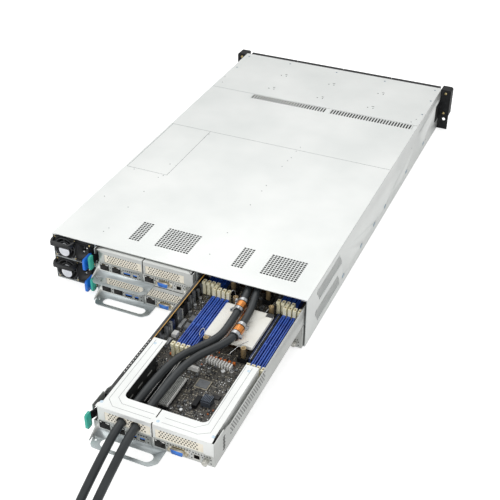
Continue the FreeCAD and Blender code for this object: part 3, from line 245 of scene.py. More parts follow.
# painted shade that stands for what a punched hole or slot shows, and for the gap at the cover's edge: nearly
# black, no gleam
holeShadePaint = simpleMaterial("holeShadow", {
    "dark": "#0d0d0e", "light": "#191a1b", "driftMm": 4, "grainMm": 0.6,
    "rough": (0.6, 0.75), "bump": 0.05})
# coated steel of the riser cages: nearly white, even
cageSteel = simpleMaterial("paleRiserSteel", {
    "shader": {"Metallic": 0.4}, "dark": "#eaecea", "light": "#f4f6f4", "driftMm": 60, "grainMm": 1.2,
    "rough": (0.36, 0.48), "bump": 0.04})
# the same sheet along its pressed lines, painted light grey as the shade of the pressing
pressedLineGreyShade = simpleMaterial("pressedLineShade", {
    "shader": {"Metallic": 0.4}, "dark": "#a9adac", "light": "#babdbc", "driftMm": 20, "grainMm": 1.0,
    "rough": (0.4, 0.5), "bump": 0.04})
# nickel on the display connector's flange: beige metal
nickelCream = simpleMaterial("nickelConnectorFlange", {
    "shader": {"Metallic": 0.5}, "dark": "#a59d8a", "light": "#cfc8b6", "driftMm": 3, "grainMm": 0.5,
    "rough": (0.35, 0.45), "bump": 0.05})
# ribbed moulding over the card slots: light grey
ribGrey = simpleMaterial("greyRibbedCover", {
    "dark": "#a3a5a1", "light": "#c2c4c0", "driftMm": 6, "grainMm": 0.6,
    "rough": (0.4, 0.5), "bump": 0.05})
# brass of the spring posts, dulled: tan, little gleam
postBrass = simpleMaterial("dulledBrassPost", {
    "shader": {"Metallic": 0.6}, "dark": "#a08a64", "light": "#bda67e", "driftMm": 4, "grainMm": 0.5,
    "rough": (0.35, 0.45), "bump": 0.06})
# moulded plastic of the carriers' levers: dark grey, faint grain
leverGrey = simpleMaterial("mouldedLeverGrey", {
    "dark": "#3b3d40", "light": "#4a4d50", "driftMm": 12, "grainMm": 0.5,
    "rough": (0.4, 0.5), "bump": 0.15})
# cast aluminium of the bare drives: mid grey metal
driveAlloy = simpleMaterial("castDriveAlloy", {
    "shader": {"Metallic": 0.8}, "dark": "#9a9d9f", "light": "#b7babb", "driftMm": 45, "grainMm": 0.8,
    "rough": (0.35, 0.48), "bump": 0.08})
# milky plastic of the carriers' lamps: pale green, lets light in
lampLens = simpleMaterial("milkyLampLens", {
    "shader": {"Transmission Weight": 0.25}, "dark": "#b9d8c0", "light": "#d4ecd9", "driftMm": 3,
    "grainMm": 0.4, "rough": (0.2, 0.3), "bump": 0.03})
# plastic film beside the sockets: deep blue, fairly glossy
navyFilm = simpleMaterial("navyInsulatingFilm", {
    "dark": "#1c2a4e", "light": "#2a3c6a", "driftMm": 8, "grainMm": 0.6,
    "rough": (0.3, 0.4), "bump": 0.05})
# shade in the latches' thumb notches: dull tan
tanShade = simpleMaterial("tanLatchShade", {
    "dark": "#8f7b52", "light": "#b39c6e", "driftMm": 4, "grainMm": 0.6,
    "rough": (0.5, 0.6), "bump": 0.05})
# rivets of dulled steel, and the painted shadow lines where the cover's sheets meet: dark grey, little gleam
rivetGreyAndSeamShadow = simpleMaterial("dulledRivetAndSeamShadow", {
    "shader": {"Metallic": 0.5}, "dark": "#5a5f60", "light": "#868c8c", "driftMm": 4, "grainMm": 0.6,
    "rough": (0.4, 0.5), "bump": 0.05})
# powder coat of the slot brackets: pale cream, satin
creamBracket = simpleMaterial("creamSlotBracket", {
    "dark": "#efe7d4", "light": "#f8f2e4", "driftMm": 12, "grainMm": 0.6,
    "rough": (0.4, 0.5), "bump": 0.06})
# nickel plate of the jacks' shells: bright, slightly warm
jackShell = simpleMaterial("nickelJackShell", {
    "shader": {"Metallic": 0.6}, "dark": "#c4c3bb", "light": "#e2e1da", "driftMm": 6, "grainMm": 0.6,
    "rough": (0.28, 0.4), "bump": 0.05})
print("materials ready")

slotMaterial = {
    "galvanised_steel": zincInnerShaded, "cover_steel": zincSheet, "ear_plastic": blackAbs,
    "screw_steel": turnedBrass, "circuit_board": speckledBoard, "fan_plastic": blackAbs,
    "button_plastic": stainless, "carrier_steel": blackAbs, "supply_steel": blackCoat,
    "blue_plastic": blueNylon,
    "teal_plastic": tealNylon, "tray_steel": traySteel, "jack_metal": jackShell, "riser_steel": cageSteel,
    "socket_plastic": blueSocket, "latch_plastic": creamLatch, "cold_plate": ivoryPlate,
    "hose_rubber": hoseRubber, "copper": drawnCopper, "coupling_metal": stainless,
}
for subpart in frame["record"]["subparts"]:
    mesh = nodes[subpart["node"]].data
    mesh.materials.clear()
    mesh.materials.append(slotMaterial[subpart["material_slot"]])


# Modelling helpers. Places are in millimetres.

def newPiece(name, points, faces, material):
    mesh = bpy.data.meshes.new(name)
    mesh.from_pydata(points, [], faces)
    piece = bpy.data.objects.new(name, mesh)
    bpy.context.scene.collection.objects.link(piece)
    return dress(piece, name, material)


def scatterPiece(name, shape, places, material):
    # copies of one small shape, each with a foot point, a size and a turn about Z in degrees
    points, faces = [], []
    corners = [corner.co.copy() for corner in shape.data.vertices]
    outlines = [tuple(face.vertices) for face in shape.data.polygons]
    for foot, size, turn in places:
        first = len(points)
        spin = Matrix.Rotation(math.radians(turn), 3, "Z")
        for corner in corners:
            points.append(spin @ Vector([c * s for c, s in zip(corner, size)]) + Vector(foot) * mm)
        faces += [tuple(first + i for i in outline) for outline in outlines]
    return newPiece(name, points, faces, material)


def deselectAll():
    if bpy.context.object and bpy.context.object.mode != "OBJECT":
        bpy.ops.object.mode_set(mode="OBJECT")
    bpy.ops.object.select_all(action="DESELECT")


def only(piece):
    deselectAll()
    piece.select_set(True)
    bpy.context.view_layer.objects.active = piece


def dress(piece, name, material):
    piece.name = name
    piece.data.name = name
    piece.data.materials.clear()
    piece.data.materials.append(material)
    return piece


def boxPiece(name, low, high, material, bevel=0.0):
    deselectAll()
    bpy.ops.mesh.primitive_cube_add(size=1, location=[(a + b) / 2 * mm for a, b in zip(low, high)])
    piece = bpy.context.object
    piece.scale = [(b - a) * mm for a, b in zip(low, high)]
    bpy.ops.object.transform_apply(location=True, rotation=False, scale=True)
    if bevel:
        bpy.ops.object.mode_set(mode="EDIT")
        bpy.ops.mesh.select_all(action="SELECT")
        bpy.ops.mesh.bevel(offset=bevel * mm, segments=1, affect="EDGES")
        bpy.ops.object.mode_set(mode="OBJECT")
    return dress(piece, name, material)


def turnedPiece(name, profile, start, direction, material, steps=20):
    # a profile of (radius, distance) pairs spun about a line, as on a lathe
    mesh = bpy.data.meshes.new(name)
    mesh.from_pydata([(r * mm, 0, s * mm) for r, s in profile],
                     [(i, i + 1) for i in range(len(profile) - 1)], [])
    piece = bpy.data.objects.new(name, mesh)
    bpy.context.scene.collection.objects.link(piece)
    only(piece)
    bpy.ops.object.mode_set(mode="EDIT")
    bpy.ops.mesh.select_all(action="SELECT")
    bpy.ops.mesh.spin(steps=steps, angle=math.tau, center=(0, 0, 0), axis=(0, 0, 1))
    bpy.ops.mesh.select_all(action="SELECT")
    bpy.ops.mesh.remove_doubles(threshold=0.00001)
    bpy.ops.mesh.normals_make_consistent(inside=False)
    bpy.ops.object.mode_set(mode="OBJECT")
    turn = Vector(direction).to_track_quat("Z", "Y").to_matrix().to_4x4()
    mesh.transform(Matrix.Translation(Vector(start) * mm) @ turn)
    only(piece)
    bpy.ops.object.shade_smooth_by_angle(angle=math.radians(35))
    return dress(piece, name, material)


def joinPieces(name, pieces):
    deselectAll()
    for piece in pieces:
        piece.select_set(True)
    bpy.context.view_layer.objects.active = pieces[0]
    if len(pieces) > 1:
        bpy.ops.object.join()
    pieces[0].name = name
    pieces[0].data.name = name
    return pieces[0]


def rideJoined(name, pieces, body):
    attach(joinPieces(name, pieces), body)


def scatterBlocks(name, places, material):
    # boxes that stand on their foot points
    block = boxPiece("block", (-0.5, -0.5, 0), (0.5, 0.5, 1), material)
    piece = scatterPiece(name, block, places, material)
    bpy.data.objects.remove(block)
    return piece


def scatterDots(name, radius, facing, places, material):
    # six-sided discs: painted shade of round holes punched in sheet, or small rivets
    turns = {"rear": (math.radians(90), 0, 0), "right": (0, math.radians(90), 0), "up": (0, 0, 0)}
    deselectAll()
    bpy.ops.mesh.primitive_circle_add(vertices=6, radius=radius * mm, fill_type="NGON",
                                      rotation=turns[facing])
    bpy.ops.object.transform_apply(rotation=True)
    dot = bpy.context.object
    piece = scatterPiece(name, dot, places, material)
    bpy.data.objects.remove(dot)
    return piece


def tubePiece(name, points, radius, material, rounded=True):
    # bent wire or tube along points, made a mesh
    curve = bpy.data.curves.new(name, "CURVE")
    curve.dimensions = "3D"
    curve.bevel_depth = radius * mm
    curve.bevel_resolution = 3
    curve.use_fill_caps = True
    spline = curve.splines.new("NURBS" if rounded else "POLY")
    spline.points.add(len(points) - 1)
    for point, place in zip(spline.points, points):
        point.co = [c * mm for c in place] + [1.0]
    if rounded:
        spline.order_u = 3
        spline.use_endpoint_u = True
    piece = bpy.data.objects.new(name, curve)
    bpy.context.scene.collection.objects.link(piece)
    only(piece)
    bpy.ops.object.convert(target="MESH")
    piece = bpy.context.object
    bpy.ops.object.shade_smooth_by_angle(angle=math.radians(40))
    return dress(piece, name, material)


# Camera, at the photograph's viewing angle

view = {"azimuth": 23.498, "elevation": 34.941, "roll": 0.305, "lens": 69.33,
        "place": (586.203, -1444.244, 954.754)}


def makeCamera():
    azimuth, elevation, roll = (math.radians(view[k]) for k in ("azimuth", "elevation", "roll"))
    back = Vector((math.sin(azimuth) * math.cos(elevation), -math.cos(azimuth) * math.cos(elevation),
                   math.sin(elevation)))
    right = Vector((math.cos(azimuth), math.sin(azimuth), 0))
    up = back.cross(right)
    across = right * math.cos(roll) + up * math.sin(roll)
    above = up * math.cos(roll) - right * math.sin(roll)
    camera = bpy.data.objects.new("rearCamera", bpy.data.cameras.new("rearCamera"))
    camera.data.lens = view["lens"]
    camera.data.sensor_width = 36.0
    camera.data.clip_end = 30.0
    turn = Matrix((across, above, back)).transposed().to_4x4()
    camera.matrix_world = Matrix.Translation(Vector(view["place"]) * mm) @ turn
    bpy.context.scene.collection.objects.link(camera)
    bpy.context.scene.camera = camera


makeCamera()


# Coolant hoses, along the same route as their solids, measured from the chassis rear

hoses = {
    "diameter": 11.5,
    "supply": {
        "length": 0.768,
        "route": (
            (112, 60, 74), (119, 28, 76), (126, -4, 77), (130.5, -36, 77), (133, -74, 77), (133, -112, 77),
            (118, -142, 77), (101, -168, 76.5), (91.5, -204, 76), (87, -262, 73.4), (85.5, -322, 70.2),
            (85, -354, 58.5), (84.5, -386, 44.5), (84, -416, 29.5), (84.5, -446, 15.5), (83.5, -474, 8.2),
            (84, -498, 6), (84.2, -533, 6), (104, -568, 6), (139, -588, 6), (176, -588.5, 9.2),
            (212, -588.5, 9.2)),
    },
    "return": {
        "length": 0.724,
        "route": (
            (136, 60, 74), (136, 28, 76), (139.5, -4, 77), (147.5, -38, 77), (150.5, -76, 77),
            (150, -112, 77), (135.5, -140, 77), (119, -168, 77), (110.5, -205, 76.5), (107.5, -262, 73.8),
            (106, -322, 70.2), (106, -355, 59), (105.5, -388, 45), (105, -418, 30.5), (105.5, -447, 17),
            (104.5, -476, 8), (105, -512, 6), (123, -544, 6), (155, -562, 6), (189, -562.5, 9.2),
            (214, -562.5, 9.2)),
    },
}


couplings = {"radius": 9.0, "length": 46.0, "sleeve": 6.55, "knurl": 0.35}


def makeCoupling(kind):
    # quick coupling: crimped sleeve, body, release collar with grooves, tapered nose
    r, length, s = couplings["radius"], couplings["length"], couplings["sleeve"]
    profile = [(0, 0.05), (s, 0.05), (s, 9.6), (r - 1, 10), (r, 11)]
    for groove in range(6):
        at = 12 + groove * 2
        bottom = r - couplings["knurl"]
        profile += [(r, at), (bottom, at + 0.6), (bottom, at + 1.2), (r, at + 1.8)]
    profile += [(r, 24), (r - 1.5, 24.4), (r - 1.5, 27.6), (r, 28), (r, length - 6), (r - 2.5, length),
                (4.0, length), (4.0, length - 5), (0, length - 5)]
    x, y, z = hoses[kind]["route"][-1]
    piece = turnedPiece(f"{kind}Coupling", profile, (x, y + chassis["rear"], z), (1, 0, 0), stainless, 28)
    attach(piece, "upper_right_sled")
    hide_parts("hose_couplings")
    return piece


def makeHose(kind):
    hose = hoses[kind]
    curve = bpy.data.curves.new(f"{kind}Hose", "CURVE")
    curve.dimensions = "3D"
    curve.bevel_depth = hoses["diameter"] / 2 * mm
    curve.bevel_resolution = 6
    curve.resolution_u = 10
    curve.use_fill_caps = True
    spline = curve.splines.new("NURBS")
    spline.points.add(len(hose["route"]) - 1)
    for point, (x, y, z) in zip(spline.points, hose["route"]):
        point.co = (x * mm, (y + chassis["rear"]) * mm, z * mm, 1.0)
    spline.order_u = 3
    spline.use_endpoint_u = True
    curve.materials.append(hoseRubber)
    piece = bpy.data.objects.new(f"{kind}Hose", curve)
    bpy.context.scene.collection.objects.link(piece)
    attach(piece, "upper_right_sled")
    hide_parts(f"hose_{kind}")
    coupling = makeCoupling(kind)


makeHose("supply")
makeHose("return")
print("hoses laid")


# Copies of solids whose faces get more than one finish

def splitCopy(nodeName, body, materials, pick):
    # pick gets a face's centre in millimetres and its normal, and returns a material's number
    piece = nodes[nodeName].copy()
    piece.data = nodes[nodeName].data.copy()
    piece.name = f"{nodeName}Dressed"
    piece.parent = None
    bpy.context.scene.collection.objects.link(piece)
    only(piece)
    bpy.ops.object.mode_set(mode="EDIT")
    bpy.ops.mesh.select_all(action="SELECT")
    bpy.ops.mesh.remove_doubles(threshold=0.00001)
    bpy.ops.object.mode_set(mode="OBJECT")
    piece.data.materials.clear()
    for material in materials:
        piece.data.materials.append(material)
    for face in piece.data.polygons:
        face.material_index = pick(face.center / mm, face.normal)
    bpy.ops.object.shade_smooth_by_angle(angle=math.radians(35))
    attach(piece, body)
    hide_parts(nodeName)
    return piece


# Rear panels: jacks, connectors, brackets

panel = {
    "boardTop": 3.4, "networkJacks": (11.5, 33.0, 92.0), "usbJacks": ((53.0, 14.0), (70.0, 9.0)),
    "serial": (147.0, 157.0), "display": 126.5, "brackets": ((19.5, 88.0), (93.0, 162.5)),
    "hoseHoles": (45.5, 66.0), "hoseHoleHeight": 26.6,
    # stepped latch corner and status lamp of a jack: across, up, width, height
    "jackCorners": ((11.6, 9.9, 3.4, 1.7), (9.4, 10.9, 2.4, 0.9), (0.9, 9.9, 2.4, 1.7)),
    # rim of the display connector and the painted shade of the gap inside it, from its centre and the board's top
    "rim": ((-9.4, 8.6), (-8.6, 10.6), (-5.0, 11.0), (5.0, 11.0), (8.6, 10.6), (9.4, 8.6), (8.0, 3.0),
            (6.4, 1.6)),
    "gap": ((-8.6, 8.6), (-8.0, 9.8), (-5.0, 10.2), (5.0, 10.2), (8.0, 9.8), (8.6, 8.6), (7.6, 4.0)),
}
# fields of small round holes: left, right, lowest row and number of rows
panelDots = {
    "radius": 1.15, "pitch": 3.9, "rowPitch": 3.1,
    "fields": ((53.5, 81.0, 13.3, 1), (111.5, 143.0, 15.5, 1), (147.0, 174.0, 14.6, 1), (30.2, 30.3, 4.6, 4),
               (51.0, 51.1, 4.6, 4), (83.0, 83.1, 4.6, 4), (110.1, 110.2, 4.4, 4), (113.6, 113.7, 5.8, 2),
               (141.2, 141.3, 5.8, 3), (145.0, 145.1, 4.4, 3), (160.2, 160.3, 4.4, 3),
               (171.8, 171.9, 4.4, 3)),
}
panelSlots = {"across": (53.6, 81.0), "pitch": 3.1, "size": (1.3, 0.1, 1.9), "height": 0.9}
bracketDots = {"radius": 1.25, "pitch": 4.4, "rowPitch": 3.5, "rows": 4, "lowest": 21.6, "leftMargin": 6.5,
               "rightMargin": 8.0, "holeMargin": 8.6}


def nodeOrigin(level, side):
    if (level, side) == ("upper", "right"):
        return pulled["x"], pulled["y"], pulled["z"]
    return bay[side], closedRear, bay[level]


def pickPanelFace(origin, spot, normal):
    x, y, z = (a - b for a, b in zip(spot, origin))
    low = panel["boardTop"]
    if z > 18.4 and 0.9 < y < 2.1:
        return 1
    # the brackets' other faces take the painted shade
    if z > 18.4:
        return 2
    if abs(x - panel["display"]) < 9.3 and y < -0.95 and low + 1.5 < z < low + 10:
        return 3 if normal.y < -0.9 and abs(x - panel["display"]) < 8.0 else 4
    if y < -0.95 and 105 < x < 145:
        return 4
    # inside the jacks and connectors: painted shade
    for left in panel["networkJacks"]:
        if left + 0.2 < x < left + 15.8 and low + 0.2 < z:
            return 2
    for left, width in panel["usbJacks"]:
        if left + 0.5 < x < left + width - 0.5 and y > 0.05 and low + 0.6 < z < low + 6.3:
            return 2
    left, right = panel["serial"]
    if left + 0.5 < x < right - 0.5 and y > 0.05:
        return 2
    return 0


def dotRow(left, right, pitch, height, shift):
    across = left + shift
    places = []
    while across <= right:
        places.append((across, height))
        across += pitch
    return places


def panelDotPlaces():
    places = []
    for left, right, height, rows in panelDots["fields"]:
        for row in range(rows):
            shift = (row % 2) * panelDots["pitch"] / 2
            places += dotRow(left, right, panelDots["pitch"], height + row * panelDots["rowPitch"], shift)
    return places


def bracketDotPlaces(withHoses):
    look = bracketDots
    places = []
    for left, right in panel["brackets"]:
        for row in range(look["rows"]):
            places += dotRow(left + look["leftMargin"], right - look["rightMargin"], look["pitch"],
                             look["lowest"] + row * look["rowPitch"], (row % 2) * look["pitch"] / 2)
    if not withHoses:
        return places
    holes = [(x, panel["hoseHoleHeight"]) for x in panel["hoseHoles"]]
    return [p for p in places if all(math.dist(p, hole) > look["holeMargin"] for hole in holes)]


def dressPanel(level, side):
    origin = nodeOrigin(level, side)
    body = f"{level}_{side}_sled"
    label = f"{level}{side.title()}"
    x0, y0, z0 = origin
    low = z0 + panel["boardTop"]
    splitCopy(f"node_{level}_{side}_io", body, [jackShell, creamBracket, jackInsideShade, usbBlue, nickelCream],
              lambda spot, normal: pickPanelFace(origin, spot, normal))
    tongues = [
        boxPiece("tongue", (x0 + left + 1.2, y0 + 0.1, low + 3.7),
                 (x0 + left + width - 1.2, y0 + 10, low + 5.9), usbBlue, 0.2)
        for left, width in panel["usbJacks"]
    ]
    rideJoined(f"{label}UsbTongues", tongues, body)
    corners = [
        boxPiece("corner", (x0 + left + across, y0 - 0.4, low + up),
                 (x0 + left + across + width, y0 - 0.22, low + up + height), whiteNylon)
        for left in panel["networkJacks"] for across, up, width, height in panel["jackCorners"]
    ]
    rideJoined(f"{label}JackCorners", corners, body)
    contacts = [((x0 + left + 3.7 + 1.2 * i, y0 + 4.6, low + 9.2), (0.6, 6.8, 1.4), 0)
                for left in panel["networkJacks"] for i in range(8)]
    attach(scatterBlocks(f"{label}Contacts", contacts, goldFlash), body)
    withHoses = (level, side) == ("upper", "right")
    # round holes in the panel and the brackets, drawn as dark discs of painted shade
    for name, radius, depth, spots in (
            ("PanelHoles", panelDots["radius"], -0.06, panelDotPlaces()),
            ("BracketHoles", bracketDots["radius"], 0.94, bracketDotPlaces(withHoses))):
        places = [((x0 + x, y0 + depth, z0 + z), (1, 1, 1), 0) for x, z in spots]
        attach(scatterDots(f"{label}{name}", radius, "rear", places, holeShadePaint), body)
    # upright slots below the USB jacks, drawn as dark blocks of painted shade
    spots = dotRow(*panelSlots["across"], panelSlots["pitch"], panelSlots["height"], 0)
    slots = [((x0 + x, y0 - 0.03, z0 + z), panelSlots["size"], 0) for x, z in spots]
    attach(scatterBlocks(f"{label}PanelSlots", slots, holeShadePaint), body)
    flanges = [
        boxPiece("flange", (x0 + left - 1.5, y0 - 1.3, z0 + 17.7), (x0 + right + 1.5, y0 - 0.1, z0 + 18.5),
                 traySteel, 0.2)
        for left, right in panel["brackets"]
    ]
    rideJoined(f"{label}BracketFlanges", flanges, body)
    middle = x0 + panel["display"]
    rim = [(middle + dx, y0 - 1.2, low + dz) for dx, dz in panel["rim"]]
    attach(tubePiece(f"{label}DisplayRim", rim, 0.35, goldFlash), body)
    gap = [(middle + dx, y0 - 1.1, low + dz) for dx, dz in panel["gap"]]
    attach(tubePiece(f"{label}DisplayShade", gap, 0.7, blackAbs), body)


for level in ("lower", "upper"):
    for side in ("left", "right"):
        dressPanel(level, side)
print("rear panels dressed")


# Sleds: handle, walls, and what stands on the board of the closed ones

sled = {"banks": ((32.0, 168.0), (147.0, 168.0), (9.0, 317.0), (132.0, 317.0)), "bankSize": (28.0, 130.0),
        "plates": ((100.5, 245.0), (81.0, 382.0)), "plateHalf": (38.0, 40.0), "boardEnd": 476.5}


def inBank(x, y, margin):
    across, along = sled["bankSize"]
    return any(left - margin < x < left + across + margin and start - margin < y < start + along + margin
               for left, start in sled["banks"])


def onPlate(x, y, margin):
    halfX, halfY = sled["plateHalf"]
    return any(abs(x - cx) < halfX + margin and abs(y - cy) < halfY + margin for cx, cy in sled["plates"])


def pickTrayFace(origin, closed, spot, normal):
    x, y, z = (a - b for a, b in zip(spot, origin))
    if y < -0.05 and z < 1.65 and 8.9 < x < 109.1:
        return 1
    if not closed or not (9.9 < x < 175.1 and 4.9 < y < sled["boardEnd"]):
        return 0
    if 1.02 < z < 3.45:
        return 2
    if 3.4 < z < 15.5 and inBank(x, y, 0.1):
        return 3
    if 3.4 < z < 27.6 and onPlate(x, y, 0.1):
        return 4
    return 2 if 3.4 < z < 12.5 and y > 460 else 0


def dressTray(level, side):
    origin = nodeOrigin(level, side)
    closed = (level, side) != ("upper", "right")
    splitCopy(f"node_{level}_{side}_tray", f"{level}_{side}_sled",
              [traySteel, zincHandle, solderMask, blueSocket, canAluminium],
              lambda spot, normal: pickTrayFace(origin, closed, spot, normal))


for level in ("lower", "upper"):
    for side in ("left", "right"):
        dressTray(level, side)


def pickPanFace(spot, normal):
    if abs(spot.x) > chassis["half"] + 0.05:
        return 2
    # faces inside the chassis take the darker copy of the sheet, painted shade
    outside = abs(spot.x) > 219.2 or spot.z > 84.9 or spot.z < 0.05
    return 0 if outside else 1


splitCopy("chassis_pan", "chassis", [zincSheet, zincInnerShaded, blueZinc], pickPanFace)
print("sheet metal split")


# Power supplies

supply = {
    "left": -218.3, "fan": (20.5, 20.0), "hub": 9.3, "inlet": (54.0, 20.0), "labelHeight": 15.8,
    "lamp": (63.0, 31.0),
    "screws": ((3.4, 3.2), (38.0, 3.2), (2.6, 37.8), (40.0, 37.2), (73.2, 2.8), (67.5, 36.5)),
    # bright stainless wires from the screws to the guard, and a bright strip along the sheet's lower edge: painted
    # highlights
    "spokes": (((1.6, 9.5), (3.6, 3.4), (8.5, 5.0)), ((39.2, 10.0), (37.8, 3.2), (31.5, 3.4)),
               ((1.2, 1.2), (39.5, 1.2))),
}


def pickSupplyFace(floor, spot, normal):
    x, y, z = spot.x - supply["left"], spot.y - chassis["rear"], spot.z - floor
    away = math.hypot(x - supply["fan"][0], z - supply["fan"][1])
    if y < 0.05 and y > -1.05 and away < 19.3 and not (z > 31.4 and y < -0.01 and x < 4.6):
        return 2 if away < supply["hub"] + 0.1 and normal.y < -0.5 else 1
    if 5.9 < y < 15.95 and abs(x - supply["inlet"][0]) < 7 and 12 < z < 30 and normal.y < 0.5:
        return 1
    return 0


def dressSupply(level):
    floor = bay[level]
    body = f"{level}_supply"
    splitCopy(f"supply_{level}_case", body, [blackCoat, guardSteel, bareLabel],
              lambda spot, normal: pickSupplyFace(floor, spot, normal))
    x, y, z = supply["left"], chassis["rear"], floor
    outwards = (0, -1, 0)
    head = [(0, 0), (1.7, 0), (1.7, 0.5), (1.2, 0.9), (0, 1.0)]
    screws = [turnedPiece("screw", head, (x + dx, y - 0.02, z + dz), outwards, turnedBrass, 12)
              for dx, dz in supply["screws"]]
    rideJoined(f"{level}SupplyScrews", screws, body)
    # painted highlights: stainless spokes and the edge strip; then the earth pin and the lamp
    bright = [tubePiece("spoke", [(x + dx, y - 0.75, z + dz) for dx, dz in ends], 0.65, stainless, False)
              for ends in supply["spokes"]]
    cx, cz = x + supply["inlet"][0], z + supply["inlet"][1]
    pin = [(0, 0), (1.6, 0), (1.6, 3.0), (1.1, 3.4), (0, 3.5)]
    bright.append(turnedPiece("pin", pin, (cx, y + 6.2, cz), outwards, stainless, 12))
    lamp = [(0, 0), (1.1, 0), (1.1, 0.6), (0, 0.8)]
    dx, dz = supply["lamp"]
    bright.append(turnedPiece("lamp", lamp, (x + dx, y - 0.02, z + dz), outwards, whiteNylon, 12))
    rideJoined(f"{level}SupplyBrightwork", bright, body)
    # hub: black cone and a plain round label on it
    hub, up = x + supply["fan"][0], z + supply["labelHeight"]
    cone = [(0, 0), (10.8, 0), (10.2, 2.6), (0, 2.6)]
    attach(turnedPiece(f"{level}HubCone", cone, (hub, y - 1.0, up), outwards, blackAbs, 24), body)
    disc = [(0, 0), (9.6, 0), (9.6, 0.25), (0, 0.3)]
    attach(turnedPiece(f"{level}HubLabel", disc, (hub, y - 3.6, up), outwards, bareLabel, 28), body)
    # raised frame round the inlet
    bars = [boxPiece("bar", (cx - 13.2, y - 0.9, cz + s * 15.6 - 0.9),
                     (cx + 13.2, y - 0.02, cz + s * 15.6 + 0.9), blackAbs, 0.3) for s in (-1, 1)]
    bars += [boxPiece("bar", (cx + s * 12.2 - 1.0, y - 0.9, cz - 14.7),
                      (cx + s * 12.2 + 1.0, y - 0.02, cz + 14.7), blackAbs, 0.3) for s in (-1, 1)]
    rideJoined(f"{level}InletFrame", bars, body)


dressSupply("lower")
dressSupply("upper")
print("power supplies dressed")


# Release tabs: coloured pads on black arms

for level in ("lower", "upper"):
    for side in ("left", "right"):
        padEnd = nodeOrigin(level, side)[1] - 1.45
        splitCopy(f"node_{level}_{side}_tab", f"{level}_{side}_tab", [tealNylon, blackAbs],
                  lambda spot, normal: 0 if spot.y < padEnd else 1)
    splitCopy(f"supply_{level}_tab", f"{level}_supply_tab", [blueNylon, blackAbs],
              lambda spot, normal: 0 if spot.y < chassis["rear"] - 5.5 else 1)


# The pulled node's board: parts, wires, films. Places are in the node's own frame.

board = {"top": 3.4, "left": 14.0, "right": 172.0, "near": 21.0, "far": 466.0, "pitch": 4.2, "seed": 7,
         "share": 0.8}
# blocks on the board: left, near, width, depth, foot above the board, height, material, bevel
boardBlocks = (
    (90.3, 119.2, 17, 15, 0, 1.8, greyLid, 0.3), (88.6, 117.5, 20.4, 18.4, 0, 0.5, beigeCeramic, 0),
    (104.2, 80.0, 7, 20, 0, 6.0, blackAbs, 0.3), (114.0, 88.0, 14, 14, 0, 8.0, blueGreyFins, 0.2),
    (64.0, 63.0, 1.2, 57, 0, 8.6, ribGrey, 0), (66.4, 63.0, 1.2, 57, 0, 8.2, ribGrey, 0),
    (68.8, 63.0, 1.2, 57, 0, 8.6, ribGrey, 0), (71.2, 63.0, 1.2, 57, 0, 8.2, ribGrey, 0),
    (73.6, 63.0, 1.2, 57, 0, 8.6, ribGrey, 0), (76.0, 63.0, 1.5, 57, 0, 8.8, whiteNylon, 0),
    (63.4, 62.2, 14.4, 58.6, 0, 5.0, chipEpoxy, 0), (40.5, 58.0, 6, 102, 0, 6.6, blackAbs, 0.3),
    (48.5, 58.0, 6, 102, 0, 6.6, blackAbs, 0.3), (122.0, 107.0, 10, 8, 0, 1.2, chipEpoxy, 0.2),
    (28.2, 163.2, 3.4, 3.4, 0, 3.0, orangeFerrite, 0.3), (13.0, 198.0, 8, 10, 0, 7.0, whiteNylon, 0.4),
    (136.0, 60.0, 12, 12, 0, 1.2, chipEpoxy, 0.2), (152.0, 92.0, 9, 9, 0, 1.2, chipEpoxy, 0.2),
    (138.0, 118.0, 8, 14, 0, 1.4, chipEpoxy, 0.2), (152.0, 36.0, 14, 9, 0, 5.5, blackAbs, 0.3),
    (86.0, 40.0, 11, 11, 0, 1.2, chipEpoxy, 0.2), (112.0, 46.0, 9, 12, 0, 1.4, chipEpoxy, 0.2),
    (60.0, 32.0, 16, 10, 0, 4.5, beigeCeramic, 0.3), (16.0, 60.0, 9, 9, 0, 1.2, chipEpoxy, 0.2),
    (14.5, 96.0, 12, 12, 0, 4.0, greyLid, 0.4), (15.0, 130.0, 8, 8, 0, 1.2, chipEpoxy, 0.2),
    (12.5, 218.0, 5, 22, 0, 5.0, canAluminium, 0.3), (12.5, 176.0, 5, 16, 0, 5.0, canAluminium, 0.3),
    (20.0, 240.0, 9, 12, 0, 4.5, greyLid, 0.4), (20.5, 222.0, 8, 12, 0, 4.5, greyLid, 0.4),
    (139.3, 190.0, 2.2, 110, 0, 10.6, navyFilm, 0), (141.8, 190.0, 0.4, 110, 0, 10.6, stainless, 0),
    (142.6, 190.0, 3.0, 110, 0, 10.6, blackAbs, 0.2), (60.0, 145.0, 22, 5, 0, 7.0, whiteNylon, 0.3),
    (128.0, 277.0, 11, 9, 18.1, 0.4, blackFilmAndVentShade, 0),
)
